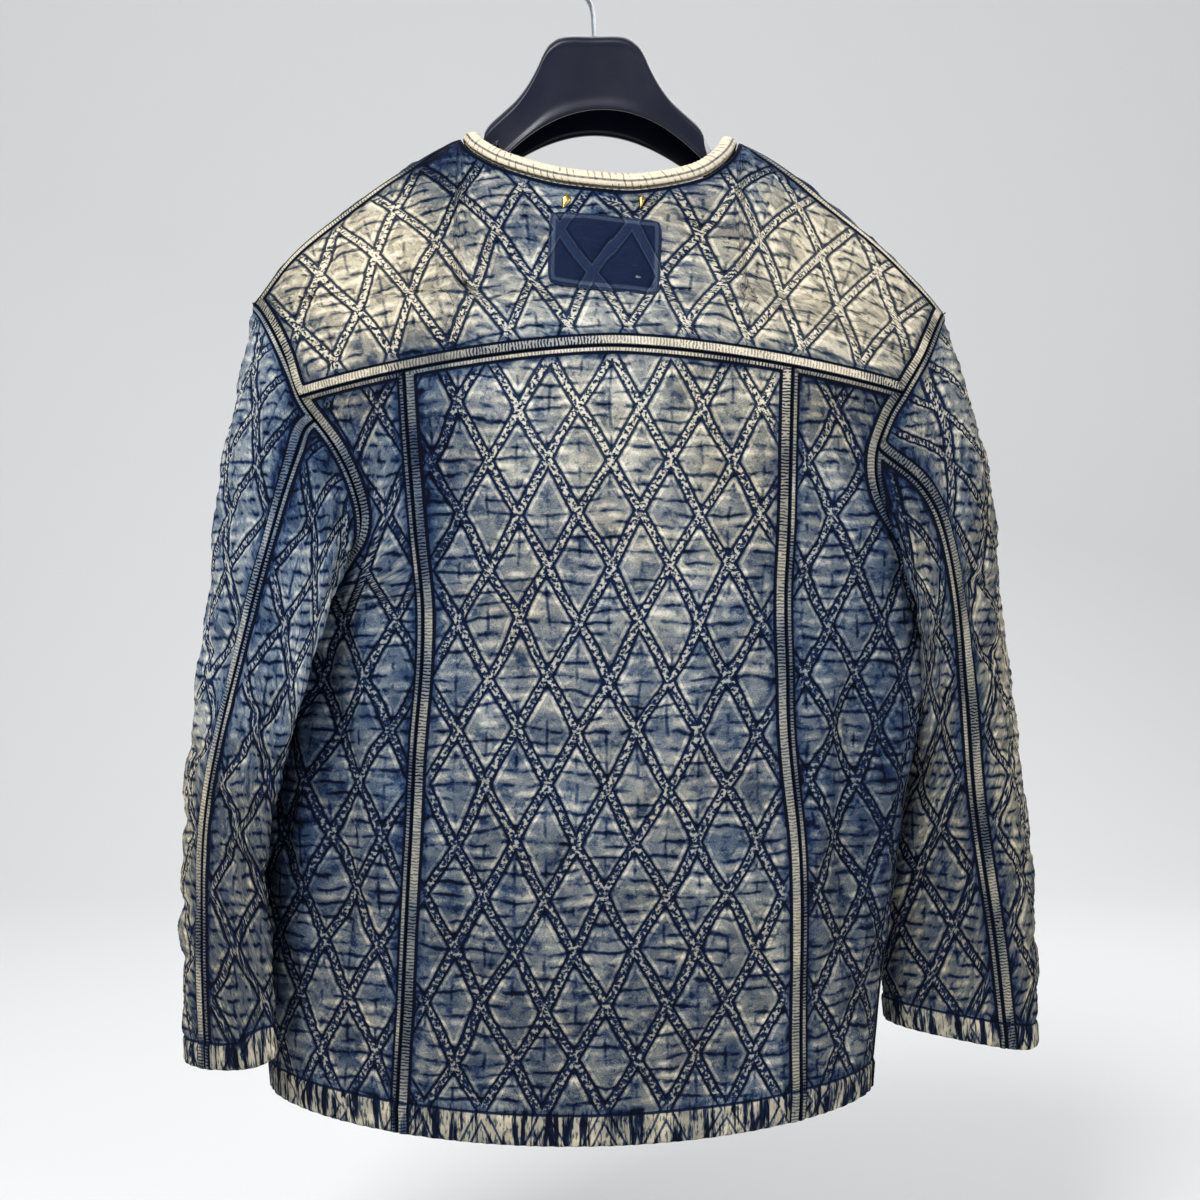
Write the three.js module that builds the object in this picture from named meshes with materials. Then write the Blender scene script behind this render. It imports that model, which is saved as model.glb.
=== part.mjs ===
// A collarless quilted denim jacket, hanging on a hollow moulded coat hanger with a wire hook.
// Millimetres, +Z up. +Y is the way the wearer faces, +X is the wearer's right, and the origin is the
// inside top of the hook, where it bears on a rail.
import * as THREE from 'three';

// Cloth: two layers of denim quilted over thin padding, as one wall.
const WALL = 3;
const SEAM_GAP = 0.4;
const DENIM = new THREE.MeshStandardMaterial({ color: 0x6f7d8e, roughness: 0.92, metalness: 0 });
const FADED_DENIM = new THREE.MeshStandardMaterial({ color: 0xb9ac92, roughness: 0.92, metalness: 0 });
const INDIGO = new THREE.MeshStandardMaterial({ color: 0x1f2c4a, roughness: 0.9, metalness: 0 });
const BRASS = new THREE.MeshStandardMaterial({ color: 0xb98a3c, roughness: 0.3, metalness: 1 });
const BLACK_PLASTIC = new THREE.MeshStandardMaterial({ color: 0x15171c, roughness: 0.35, metalness: 0 });
const STEEL = new THREE.MeshStandardMaterial({ color: 0xa9adb3, roughness: 0.25, metalness: 1 });

// A smooth curve through hand-set stations [position, value]: a cubic between each two, whose slope at
// a station is that of the line between its neighbours. Past the ends it keeps the end value.
function curveThrough(stations) {
  const last = stations.length - 1;
  const slopes = stations.map((station, i) => {
    const before = stations[Math.max(i - 1, 0)];
    const after = stations[Math.min(i + 1, last)];
    return (after[1] - before[1]) / (after[0] - before[0]);
  });
  return (position) => {
    let i = 0;
    while (i < last - 1 && position > stations[i + 1][0]) i += 1;
    const [start, low] = stations[i];
    const [end, high] = stations[i + 1];
    const span = end - start;
    const t = THREE.MathUtils.clamp((position - start) / span, 0, 1);
    const blend = t * t * (3 - 2 * t);
    const lead = t * (1 - t) * (1 - t) * span * slopes[i];
    const tail = t * t * (t - 1) * span * slopes[i + 1];
    return low + (high - low) * blend + lead + tail;
  };
}

const { lerp, degToRad: radians } = THREE.MathUtils;

// Body: rings at each height. The sides of a ring are where it is widest, and its depths are how far
// its middle lies behind and in front of the hanger's plane.
const HEM_SIDE_HEIGHT = -854;
const HEM_DIP = 17;
const leftSide = curveThrough([
  [-857, -238], [-790, -243], [-690, -247], [-610, -241], [-500, -228], [-435, -238], [-343, -254],
  [-272, -262],
]);
const rightSide = curveThrough([
  [-857, 208], [-790, 214], [-720, 223], [-638, 233], [-550, 249], [-485, 252], [-435, 260],
  [-343, 268], [-272, 275],
]);
const backDepth = curveThrough([
  [-857, 94], [-760, 94], [-650, 96], [-520, 98], [-435, 97], [-343, 92], [-260, 84], [-190, 72],
  [-140, 64],
]);
const frontDepth = curveThrough([
  [-857, 84], [-650, 87], [-520, 90], [-435, 90], [-343, 86], [-260, 80], [-190, 72], [-140, 64],
]);
const SIDE_ROUNDING = 4;
const MIDDLE_ROUNDING = 50;

// Shoulder line: the height of the ridge that the cloth makes over the hanger, from side to side.
const ridgeHeight = curveThrough([
  [-275, -300], [-255, -273], [-247, -262], [-219, -228], [-181, -197], [-144, -171], [-98, -146.5],
  [-60, -135], [6, -130], [70, -136], [110, -149.5], [148, -171], [180, -197], [208, -220],
  [243, -254], [263, -277], [285, -304],
]);

const ringCentre = (z) => (leftSide(z) + rightSide(z)) / 2;
const ringHalf = (z) => (rightSide(z) - leftSide(z)) / 2;
const ringX = (phi, z) => ringCentre(z) + ringHalf(z) * Math.sin(phi);

// The body is one surface of two parameters. phi is the angle round a ring, 0 in the middle and a
// quarter turn at the sides. drop squared is the depth below the ridge: it is negative down the back,
// zero on the ridge and positive down the front, so the surface rounds over the shoulder.
function bodyPoint(phi, drop) {
  let z = ridgeHeight(0);
  for (let turn = 0; turn < 10; turn += 1) z = ridgeHeight(ringX(phi, z)) - drop * drop;
  const depth = drop < 0 ? backDepth(z) : frontDepth(z);
  const rounding = lerp(SIDE_ROUNDING, MIDDLE_ROUNDING, Math.cos(phi));
  const opened = Math.sqrt(1 - Math.exp((-drop * drop) / rounding));
  return new THREE.Vector3(ringX(phi, z), Math.sign(drop) * depth * Math.cos(phi) * opened, z);
}

function bodyNormal(phi, drop) {
  const step = 0.02;
  const round = bodyPoint(phi + step, drop).sub(bodyPoint(phi - step, drop));
  const along = bodyPoint(phi, drop + step * 2).sub(bodyPoint(phi, drop - step * 2));
  return round.cross(along).normalize();
}

// Armholes: alpha runs from the shoulder point, 0, to the underarm, 180 degrees. spread is how far
// round the ring, in degrees, the armhole's edge lies.
function armhole(side, bottom, spread) {
  const top = bodyPoint(side * radians(spread(0)), 0).z;
  const height = (alpha) => top + ((bottom - top) * (1 - Math.cos(radians(alpha)))) / 2;
  const alphaAt = (z) => {
    const share = THREE.MathUtils.clamp((top - z) / (top - bottom), 0, 1);
    return THREE.MathUtils.radToDeg(Math.acos(1 - 2 * share));
  };
  return { side, bottom, top, spread, height, alphaAt };
}

const LEFT_ARMHOLE = armhole(-1, -500, curveThrough([
  [0, 75], [35, 64.5], [52, 60], [68, 57], [88, 48.5], [104, 45], [118, 45], [130, 50], [141, 56],
  [160, 73], [180, 90],
]));
const RIGHT_ARMHOLE = armhole(1, -485, curveThrough([
  [0, 73], [46, 63.5], [67, 56.5], [78, 52.5], [94, 49.5], [110, 51.5], [126, 59.5], [141, 72],
  [160, 84], [180, 90],
]));
const edgePhi = (hole) => (z) => hole.side * radians(hole.spread(hole.alphaAt(z)));

function armholeSpot(hole, alpha) {
  const z = hole.height(Math.abs(alpha));
  const phi = hole.side * radians(hole.spread(Math.abs(alpha)));
  const below = Math.max(ridgeHeight(ringX(phi, z)) - z, 0);
  return { phi, drop: (alpha < 0 ? 1 : -1) * Math.sqrt(below) };
}

function armholePoint(hole, alpha) {
  const turned = alpha > 180 ? alpha - 360 : alpha;
  const spot = armholeSpot(hole, turned);
  return bodyPoint(spot.phi, spot.drop);
}

// Neck: an oval hole over the ridge, deeper in front. The shoulder seams run from its sides, on the
// ridge, to the armholes, and lie a little behind the ridge.
const NECK_CENTRE = 6;
const NECK_HALF_WIDTH = 104;
const NECK_SHARE = 0.9999;
const NECK_FRONT_DROP = 11.3;
const NECK_FRONT_ROUNDNESS = 0.3;
const neckBackHeight = curveThrough([
  [-98, -146.5], [-92, -158.5], [-80, -169], [-67, -177], [-30, -190], [6, -195.5], [35, -196.5],
  [79, -186.5], [97, -173], [104, -164], [110, -149.5],
]);
const SEAM_ALPHA = 8;
const seamDrops = [LEFT_ARMHOLE, RIGHT_ARMHOLE].map((hole) => {
  const reach = Math.abs(armholePoint(hole, SEAM_ALPHA).x - NECK_CENTRE);
  return curveThrough([
    [NECK_HALF_WIDTH, 0], [125, 2], [160, 2.7], [reach, -armholeSpot(hole, SEAM_ALPHA).drop],
  ]);
});

function topDrop(face, x) {
  const across = (x - NECK_CENTRE) / NECK_HALF_WIDTH;
  if (Math.abs(across) > NECK_SHARE) return -seamDrops[x < NECK_CENTRE ? 0 : 1](Math.abs(x - NECK_CENTRE));
  if (face < 0) return -Math.sqrt(Math.max(ridgeHeight(x) - neckBackHeight(x), 0));
  return NECK_FRONT_DROP * (1 - across * across) ** NECK_FRONT_ROUNDNESS;
}

// Seams across and down the back, and the open front edges.
const YOKE_MIDDLE_HEIGHT = -312;
const YOKE_FALL = 32;
const YOKE_CENTRE = 14;
const YOKE_REACH = 225;
const YOKE_CURVE = 1.6;
const yokeHeight = (x) => {
  const across = Math.abs(x - YOKE_CENTRE) / YOKE_REACH;
  return YOKE_MIDDLE_HEIGHT - YOKE_FALL * across ** YOKE_CURVE;
};
const hemHeight = (phi) => HEM_SIDE_HEIGHT - HEM_DIP * Math.cos(phi) ** 2;
const leftBackSeam = curveThrough([
  [-849, -33], [-770, -31], [-665, -30], [-560, -32], [-462, -33], [-338, -32],
]);
const rightBackSeam = curveThrough([
  [-839, 47], [-770, 45], [-665, 41], [-560, 33], [-455, 31], [-342, 31],
]);
const FRONT_GAP_AT_NECK = 6;
const FRONT_GAP_AT_HEM = 20;
const FRONT_NECK_HEIGHT = -258;
const frontEdge = (side) => (z) => {
  const share = (FRONT_NECK_HEIGHT - z) / (FRONT_NECK_HEIGHT - HEM_SIDE_HEIGHT);
  const x = NECK_CENTRE + (side * lerp(FRONT_GAP_AT_NECK, FRONT_GAP_AT_HEM, share)) / 2;
  return Math.asin((x - ringCentre(z)) / ringHalf(z));
};
const leftSeamPhi = (z) => radians(leftBackSeam(z));
const rightSeamPhi = (z) => radians(rightBackSeam(z));

// Each body panel is a grid between two edges. Its rows run from the hem, 0, to the yoke's height, 1.
// Behind, they run on to the neck or the shoulder seam, 2. In front, 2 is the ridge, or lies as far
// under the neck's edge, and 3 is the neck or the shoulder seam.
const RIDGE_MARGIN = 1.8;
const SOLVER_TURNS = 60;
const SOLVER_STEP = 0.3;
function bodySpot(face, from, to, share, row) {
  let z = lerp(HEM_SIDE_HEIGHT, YOKE_MIDDLE_HEIGHT, Math.min(row, 1));
  let phi = 0;
  let drop = 0;
  for (let turn = 0; turn < SOLVER_TURNS; turn += 1) {
    phi = lerp(from(z), to(z), share);
    const x = ringX(phi, z);
    const yoke = yokeHeight(x);
    const top = topDrop(face, x);
    const knee = face < 0 ? top : Math.max(top + RIDGE_MARGIN, 0);
    if (row <= 1) {
      z = lerp(hemHeight(phi), yoke, row);
      drop = face * Math.sqrt(Math.max(ridgeHeight(x) - z, 0));
    } else {
      const start = face * Math.sqrt(Math.max(ridgeHeight(x) - yoke, 0));
      drop = row <= 2 ? lerp(start, knee, row - 1) : lerp(knee, top, row - 2);
      z = lerp(z, ridgeHeight(x) - drop * drop, SOLVER_STEP);
    }
  }
  return { phi, drop };
}

// Sleeves: each is a tube through the armhole and five more rings. A ring's x, y and z are its middle,
// out is half its width sideways, deep is half its depth from back to front, and cup and tuck are how
// far its back and its front edge reach in round the body. turn swings it about the upright in degrees,
// and rise is how far its outer side stands above its middle.
const SLEEVE_STATIONS = [0, 0.2, 0.4, 0.6, 0.8, 1];
const LEFT_RINGS = [
  { x: -257.5, y: -12, z: -460, out: 14.5, deep: 86, cup: 74, tuck: 60, turn: 0, rise: 78 },
  { x: -269, y: -16, z: -555, out: 18, deep: 80, cup: 60, tuck: 36, turn: 0, rise: 45 },
  { x: -277, y: -20, z: -650, out: 22, deep: 66, cup: 44, tuck: 24, turn: 0, rise: 15 },
  { x: -279, y: -24, z: -735, out: 22, deep: 60, cup: 48, tuck: 18, turn: 0, rise: 0 },
  { x: -276, y: -26, z: -815, out: 22, deep: 56, cup: 49, tuck: 16, turn: 0, rise: -12 },
];
const RIGHT_RINGS = [
  { x: 277, y: 6, z: -462, out: 20, deep: 70, cup: 37, tuck: 34, turn: 0, rise: 68 },
  { x: 281, y: 28, z: -560, out: 34, deep: 54, cup: -4, tuck: 0, turn: 16, rise: 40 },
  { x: 281, y: 30, z: -650, out: 48, deep: 44, cup: -2, tuck: 0, turn: 18, rise: 18 },
  { x: 279, y: 30, z: -735, out: 59, deep: 34, cup: 0, tuck: 0, turn: 20, rise: 0 },
  { x: 282, y: 28, z: -820, out: 57, deep: 29, cup: 0, tuck: 0, turn: 20, rise: -7 },
];

const SLEEVE_SQUARENESS = 0.72;
const fuller = (value) => Math.sign(value) * Math.abs(value) ** SLEEVE_SQUARENESS;
function ringPoint(side, ring, alpha) {
  const across = fuller(Math.cos(radians(alpha)));
  const back = fuller(Math.sin(radians(alpha)));
  const out = ring.out * across - (back > 0 ? ring.cup : ring.tuck) * back * back;
  const deep = ring.deep * back;
  const c = Math.cos(radians(ring.turn));
  const s = Math.sin(radians(ring.turn));
  return new THREE.Vector3(
    ring.x + side * (out * c - deep * s),
    ring.y - (out * s + deep * c),
    ring.z + ring.rise * across,
  );
}

function sleevePoint(sleeve, alpha, along) {
  const { hole, rings } = sleeve;
  const points = [armholePoint(hole, alpha), ...rings.map((ring) => ringPoint(hole.side, ring, alpha))];
  const through = (axis) => curveThrough(SLEEVE_STATIONS.map((at, i) => [at, points[i][axis]]))(along);
  return new THREE.Vector3(through('x'), through('y'), through('z'));
}

function sleeveNormal(sleeve, alpha, along) {
  const round = sleevePoint(sleeve, alpha + 1, along).sub(sleevePoint(sleeve, alpha - 1, along));
  const near = Math.max(along - 0.01, 0);
  const far = Math.min(along + 0.01, 1);
  const down = sleevePoint(sleeve, alpha, far).sub(sleevePoint(sleeve, alpha, near));
  return round.cross(down).multiplyScalar(sleeve.hole.side).normalize();
}

const LEFT_SLEEVE = {
  hole: LEFT_ARMHOLE,
  rings: LEFT_RINGS,
  backSeam: curveThrough([[0, 90], [0.2, 54], [0.4, 46], [0.6, 38], [0.8, 34], [1, 33]]),
  frontSeam: curveThrough([[0, 270], [0.2, 268], [1, 240]]),
};
const RIGHT_SLEEVE = {
  hole: RIGHT_ARMHOLE,
  rings: RIGHT_RINGS,
  backSeam: curveThrough([[0, 90], [0.2, 74], [0.4, 86], [0.6, 78], [0.8, 64], [1, 55]]),
  frontSeam: curveThrough([[0, 270], [0.2, 268], [1, 245]]),
};

// Where body and sleeve meet, both walls end on one direction, so that they meet face to face.
const RIM_LEVELLING = 0.6;
function armholeRim(sleeve, alpha) {
  const { hole } = sleeve;
  const turned = alpha > 180 ? alpha - 360 : alpha;
  const spot = armholeSpot(hole, turned);
  const tangent = armholePoint(hole, alpha + 1).sub(armholePoint(hole, alpha - 1));
  const level = new THREE.Vector3(0, -tangent.z, tangent.y).normalize();
  const middle = new THREE.Vector3(0, 0, (hole.top + hole.bottom) / 2);
  const outward = armholePoint(hole, alpha).sub(middle);
  if (level.dot(outward) < 0) level.negate();
  return bodyNormal(spot.phi, spot.drop)
    .add(sleeveNormal(sleeve, alpha, 0))
    .addScaledVector(level, (RIM_LEVELLING * (1 - Math.cos(radians(turned)))) / 2)
    .normalize();
}

// A closed wall from two grids of points, its outer and inner faces, with rims round the edge. The
// grids' edges are drawn in by half a seam's gap. Faces point out where columns crossed with rows do,
// or the other way round where the wall is flipped.
function wall(outer, inner, flipped) {
  const rows = outer.length;
  const columns = outer[0].length;
  const drawn = [outer, inner].map((grid) => grid.map((line, r) => line.map((point, c) => {
    const moved = point.clone();
    const neighbours = [];
    if (r === 0) neighbours.push(grid[1][c]);
    if (r === rows - 1) neighbours.push(grid[rows - 2][c]);
    if (c === 0) neighbours.push(line[1]);
    if (c === columns - 1) neighbours.push(line[columns - 2]);
    for (const other of neighbours) {
      moved.addScaledVector(other.clone().sub(point).normalize(), SEAM_GAP / 2);
    }
    return moved;
  })));
  const outside = (r, c) => r * columns + c;
  const inside = (r, c) => (rows + r) * columns + c;
  const triangles = [];
  const at = drawn.flat(2);
  const quad = (a, b, c, d) => {
    if (at[a].distanceTo(at[c]) <= at[b].distanceTo(at[d])) triangles.push([a, b, c], [a, c, d]);
    else triangles.push([b, c, d], [b, d, a]);
  };
  for (let r = 0; r < rows - 1; r += 1) {
    for (let c = 0; c < columns - 1; c += 1) {
      quad(outside(r, c), outside(r, c + 1), outside(r + 1, c + 1), outside(r + 1, c));
      quad(inside(r, c), inside(r + 1, c), inside(r + 1, c + 1), inside(r, c + 1));
    }
  }
  for (let c = 0; c < columns - 1; c += 1) {
    quad(outside(0, c + 1), outside(0, c), inside(0, c), inside(0, c + 1));
    const top = rows - 1;
    quad(outside(top, c), outside(top, c + 1), inside(top, c + 1), inside(top, c));
  }
  for (let r = 0; r < rows - 1; r += 1) {
    quad(outside(r, 0), outside(r + 1, 0), inside(r + 1, 0), inside(r, 0));
    const end = columns - 1;
    quad(outside(r + 1, end), outside(r, end), inside(r, end), inside(r + 1, end));
  }
  const geometry = new THREE.BufferGeometry();
  geometry.setAttribute('position', new THREE.Float32BufferAttribute(at.flatMap((p) => p.toArray()), 3));
  geometry.setIndex(triangles.flatMap((t) => (flipped ? [t[0], t[2], t[1]] : t)));
  geometry.computeVertexNormals();
  return geometry;
}

function node(name, geometry, material) {
  const mesh = new THREE.Mesh(geometry, material);
  mesh.name = name;
  return mesh;
}

const steps = (from, to, count) => Array.from({ length: count + 1 }, (_, i) => lerp(from, to, i / count));
const joined = (...runs) => runs.reduce((all, run) => [...all, ...run.slice(1)]);

// How finely the grids are cut
const HEM_ROWS = 8;
const UNDERARM_ROWS = 6;
const UPPER_ROWS = 4;
const SIDE_COLUMNS = 4;
const SHOULDER_COLUMNS = 2;
const NECK_COLUMNS = 8;
const SLEEVE_ROWS = 14;
const FRONT_NECK_ANGLES = [16, 34, 56, 76];

// Rows of the body panels: they pass through the underarm and through the points of the armhole where
// the sleeve's corners lie.
function alphaAtYoke(hole) {
  let low = 30;
  let high = 100;
  for (let turn = 0; turn < 30; turn += 1) {
    const middle = (low + high) / 2;
    const point = armholePoint(hole, middle);
    if (point.z > yokeHeight(point.x)) low = middle;
    else high = middle;
  }
  return (low + high) / 2;
}
const upperAlphas = (hole) => steps(SEAM_ALPHA, alphaAtYoke(hole), UPPER_ROWS);
const lowerAlphas = (hole) => joined([alphaAtYoke(hole), 90], steps(90, 180, UNDERARM_ROWS));

function bodyRows(face, hole) {
  const lower = lowerAlphas(hole).slice(1).reverse().map((alpha) => {
    const { phi } = armholeSpot(hole, alpha);
    const point = armholePoint(hole, alpha);
    return (point.z - hemHeight(phi)) / (yokeHeight(point.x) - hemHeight(phi));
  });
  const upper = upperAlphas(hole).slice(1, -1).reverse().map((alpha) => {
    const point = armholePoint(hole, alpha);
    const start = Math.sqrt(ridgeHeight(point.x) - yokeHeight(point.x));
    const top = face < 0 ? -topDrop(face, point.x) : 0;
    return 1 + (start + armholeSpot(hole, alpha).drop) / (start - top);
  });
  const rows = joined(steps(0, lower[0], HEM_ROWS), lower, [0, 1, ...upper, 2]);
  return face < 0 ? rows : [...rows, 3];
}

// A body panel's grid of points and normals, with its rows between those of its two edges. Where an
// edge is an armhole, its rim is shared with the sleeve's.
const UNDERARM_MARGIN = 0.5;
function bodyGrid(face, from, to, shares, rows, sleeves) {
  return rows.map(([rowFrom, rowTo]) => shares.map((share) => {
    const { phi, drop } = bodySpot(face, from, to, share, lerp(rowFrom, rowTo, share));
    const point = bodyPoint(phi, drop);
    const sleeve = sleeves[share];
    const belowArm = !sleeve || point.z < sleeve.hole.bottom - UNDERARM_MARGIN;
    if (belowArm) return { point, normal: bodyNormal(phi, drop) };
    const alpha = sleeve.hole.alphaAt(point.z);
    return { point, normal: armholeRim(sleeve, drop < 0 ? alpha : 360 - alpha) };
  }));
}

function panel(name, grid, flipped, material) {
  const outer = grid.map((line) => line.map((spot) => spot.point));
  const inner = grid.map((line) => {
    return line.map(({ point, normal }) => point.clone().addScaledVector(normal, -WALL));
  });
  return node(name, wall(outer, inner, flipped), material);
}

const leftArm = edgePhi(LEFT_ARMHOLE);
const rightArm = edgePhi(RIGHT_ARMHOLE);
const backRows = [bodyRows(-1, LEFT_ARMHOLE), bodyRows(-1, RIGHT_ARMHOLE)];
const acrossRows = backRows[0].map((row, i) => [row, backRows[1][i]]);
const sameRows = (rows) => rows.map((row) => [row, row]);
const belowYoke = (pairs) => pairs.filter(([row]) => row <= 1);
const aboveYoke = (pairs) => pairs.filter(([row]) => row >= 1);

// Columns, as shares of the way between a panel's two edges. The yoke's follow from its corners and
// the neck, and its neighbours' from where the yoke's columns meet them.
const shareAt = (phi, z, from, to) => (phi - from(z)) / (to(z) - from(z));
const tidyEnds = (shares) => [0, ...shares.slice(1, -1), 1];

function yokeSpotAbove(seamPhi) {
  let z = YOKE_MIDDLE_HEIGHT;
  for (let turn = 0; turn < 20; turn += 1) z = yokeHeight(ringX(seamPhi(z), z));
  return shareAt(seamPhi(z), z, leftArm, rightArm);
}
const topPhi = (x) => {
  const z = ridgeHeight(x);
  return Math.asin((x - ringCentre(z)) / ringHalf(z));
};
const neckXs = steps(0, 180, NECK_COLUMNS).map((angle) => {
  return NECK_CENTRE - NECK_HALF_WIDTH * Math.cos(radians(angle));
});
const neckShares = neckXs.map((x) => shareAt(topPhi(x), ridgeHeight(x), leftArm, rightArm));
const [leftSeamShare, rightSeamShare] = [yokeSpotAbove(leftSeamPhi), yokeSpotAbove(rightSeamPhi)];
const YOKE_SHARES = joined(
  steps(0, leftSeamShare, SIDE_COLUMNS),
  steps(leftSeamShare, neckShares[0], SHOULDER_COLUMNS),
  neckShares,
  steps(neckShares[NECK_COLUMNS], rightSeamShare, SHOULDER_COLUMNS),
  steps(rightSeamShare, 1, SIDE_COLUMNS),
);

function sharesUnderYoke(first, count, from, to) {
  return tidyEnds(YOKE_SHARES.slice(first, first + count + 1).map((share) => {
    const { phi, drop } = bodySpot(-1, leftArm, rightArm, share, 1);
    return shareAt(phi, bodyPoint(phi, drop).z, from, to);
  }));
}

const END_COLUMNS = SIDE_COLUMNS + SHOULDER_COLUMNS;
const MIDDLE_COLUMNS = YOKE_SHARES.length - 1 - 2 * SIDE_COLUMNS;
function frontShares(side, from, to) {
  const seam = side < 0 ? YOKE_SHARES.slice(0, END_COLUMNS + 1) : YOKE_SHARES.slice(-END_COLUMNS - 1);
  const along = seam.map((share) => {
    const { phi, drop } = bodySpot(-1, leftArm, rightArm, share, 2);
    return shareAt(phi, bodyPoint(phi, drop).z, from, to);
  });
  const half = FRONT_NECK_ANGLES.map((angle) => {
    return NECK_CENTRE + side * NECK_HALF_WIDTH * Math.cos(radians(angle));
  }).sort((a, b) => a - b);
  const neck = half.map((x) => shareAt(topPhi(x), ridgeHeight(x), from, to));
  return tidyEnds(side < 0 ? [...along, ...neck, 1] : [0, ...neck, ...along]);
}

const jacket = new THREE.Group();
const yokeGrid = bodyGrid(
  -1, leftArm, rightArm, YOKE_SHARES, aboveYoke(acrossRows), { 0: LEFT_SLEEVE, 1: RIGHT_SLEEVE },
);
jacket.add(
  panel('back_yoke', yokeGrid, false, FADED_DENIM),
  panel('back_centre', bodyGrid(
    -1, leftSeamPhi, rightSeamPhi,
    sharesUnderYoke(SIDE_COLUMNS, MIDDLE_COLUMNS, leftSeamPhi, rightSeamPhi), belowYoke(acrossRows), {},
  ), false, DENIM),
  panel('back_side_left', bodyGrid(
    -1, leftArm, leftSeamPhi,
    sharesUnderYoke(0, SIDE_COLUMNS, leftArm, leftSeamPhi),
    belowYoke(sameRows(backRows[0])), { 0: LEFT_SLEEVE },
  ), false, DENIM),
  panel('back_side_right', bodyGrid(
    -1, rightSeamPhi, rightArm,
    sharesUnderYoke(SIDE_COLUMNS + MIDDLE_COLUMNS, SIDE_COLUMNS, rightSeamPhi, rightArm),
    belowYoke(sameRows(backRows[1])), { 1: RIGHT_SLEEVE },
  ), false, DENIM),
);

// Fronts: open down the middle, each one piece from the hem over the shoulder to its seam.
const leftFrontGrid = bodyGrid(
  1, leftArm, frontEdge(-1), frontShares(-1, leftArm, frontEdge(-1)),
  sameRows(bodyRows(1, LEFT_ARMHOLE)), { 0: LEFT_SLEEVE },
);
const rightFrontGrid = bodyGrid(
  1, frontEdge(1), rightArm, frontShares(1, frontEdge(1), rightArm),
  sameRows(bodyRows(1, RIGHT_ARMHOLE)), { 1: RIGHT_SLEEVE },
);
jacket.add(panel('front_left', leftFrontGrid, true, DENIM));
jacket.add(panel('front_right', rightFrontGrid, true, DENIM));

// Sleeves: two pieces each, joined down the back and down the inside of the front.
for (const [word, sleeve] of [['left', LEFT_SLEEVE], ['right', RIGHT_SLEEVE]]) {
  const upper = upperAlphas(sleeve.hole);
  const lower = lowerAlphas(sleeve.hole);
  const above = [...upper, 90];
  const under = lower.slice(1);
  const outerAlphas = [...above.slice(1).reverse().map((alpha) => -alpha), 0, ...above];
  const innerAlphas = joined(under, under.slice().reverse().map((alpha) => 360 - alpha));
  const frontSeamBefore = (v) => sleeve.frontSeam(v) - 360;
  const halves = [
    ['outer', outerAlphas.map((alpha) => (alpha + 90) / 180), frontSeamBefore, sleeve.backSeam],
    ['inner', innerAlphas.map((alpha) => (alpha - 90) / 180), sleeve.backSeam, sleeve.frontSeam],
  ];
  for (const [half, shares, from, to] of halves) {
    const grid = steps(0, 1, SLEEVE_ROWS).map((v) => shares.map((share) => {
      const alpha = (lerp(from(v), to(v), share) + 360) % 360;
      const normal = v === 0 ? armholeRim(sleeve, alpha) : sleeveNormal(sleeve, alpha, v);
      return { point: sleevePoint(sleeve, alpha, v), normal };
    }));
    jacket.add(panel(`sleeve_${half}_${word}`, grid, sleeve.hole.side < 0, DENIM));
  }
}

// A solid rod along a path of rings. Each ring is an oval of two half widths, set across two directions.
const ROD_SIDES = 8;
function rod(rings) {
  const angles = steps(0, 360, ROD_SIDES).slice(0, -1).map(radians);
  const points = rings.flatMap(({ centre, across, up }) => angles.map((angle) => {
    return centre.clone()
      .addScaledVector(across, Math.cos(angle))
      .addScaledVector(up, Math.sin(angle));
  }));
  const triangles = [];
  const ringEnd = rings.length - 1;
  for (let side = 0; side < ROD_SIDES; side += 1) {
    const next = (side + 1) % ROD_SIDES;
    for (let r = 0; r < ringEnd; r += 1) {
      const [a, b] = [r * ROD_SIDES + side, r * ROD_SIDES + next];
      triangles.push([a, b, b + ROD_SIDES], [a, b + ROD_SIDES, a + ROD_SIDES]);
    }
    triangles.push([points.length, next, side]);
    triangles.push([points.length + 1, ringEnd * ROD_SIDES + side, ringEnd * ROD_SIDES + next]);
  }
  const all = [...points, rings[0].centre, rings[ringEnd].centre];
  const geometry = new THREE.BufferGeometry();
  geometry.setAttribute('position', new THREE.Float32BufferAttribute(all.flatMap((p) => p.toArray()), 3));
  geometry.setIndex(triangles.flat());
  geometry.computeVertexNormals();
  return geometry;
}

// Binding: a rolled strip standing on the edge of the neck, from one front edge round the back to the
// other.
const BINDING_HALF_HEIGHT = 6.2;
const BINDING_HALF_THICKNESS = 4.2;
const bindingLeft = leftFrontGrid.at(-1).slice(END_COLUMNS).reverse();
const bindingBack = yokeGrid.at(-1).slice(END_COLUMNS, END_COLUMNS + NECK_COLUMNS + 1);
const bindingRight = rightFrontGrid.at(-1).slice(0, -END_COLUMNS).reverse();
const neckEdge = joined(bindingLeft, bindingBack, bindingRight);
const bindingRings = neckEdge.map(({ point, normal }, i) => {
  const along = (neckEdge[i + 1] ?? neckEdge[i]).point.clone()
    .sub((neckEdge[i - 1] ?? neckEdge[i]).point)
    .normalize();
  const inward = normal.clone().cross(along).normalize();
  const centre = point.clone()
    .addScaledVector(inward, BINDING_HALF_HEIGHT + SEAM_GAP)
    .addScaledVector(normal, -WALL / 2);
  return {
    centre,
    across: inward.clone().multiplyScalar(BINDING_HALF_HEIGHT),
    up: along.clone().cross(inward).multiplyScalar(BINDING_HALF_THICKNESS),
  };
});
jacket.add(node('neck_binding', rod(bindingRings), FADED_DENIM));

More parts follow.
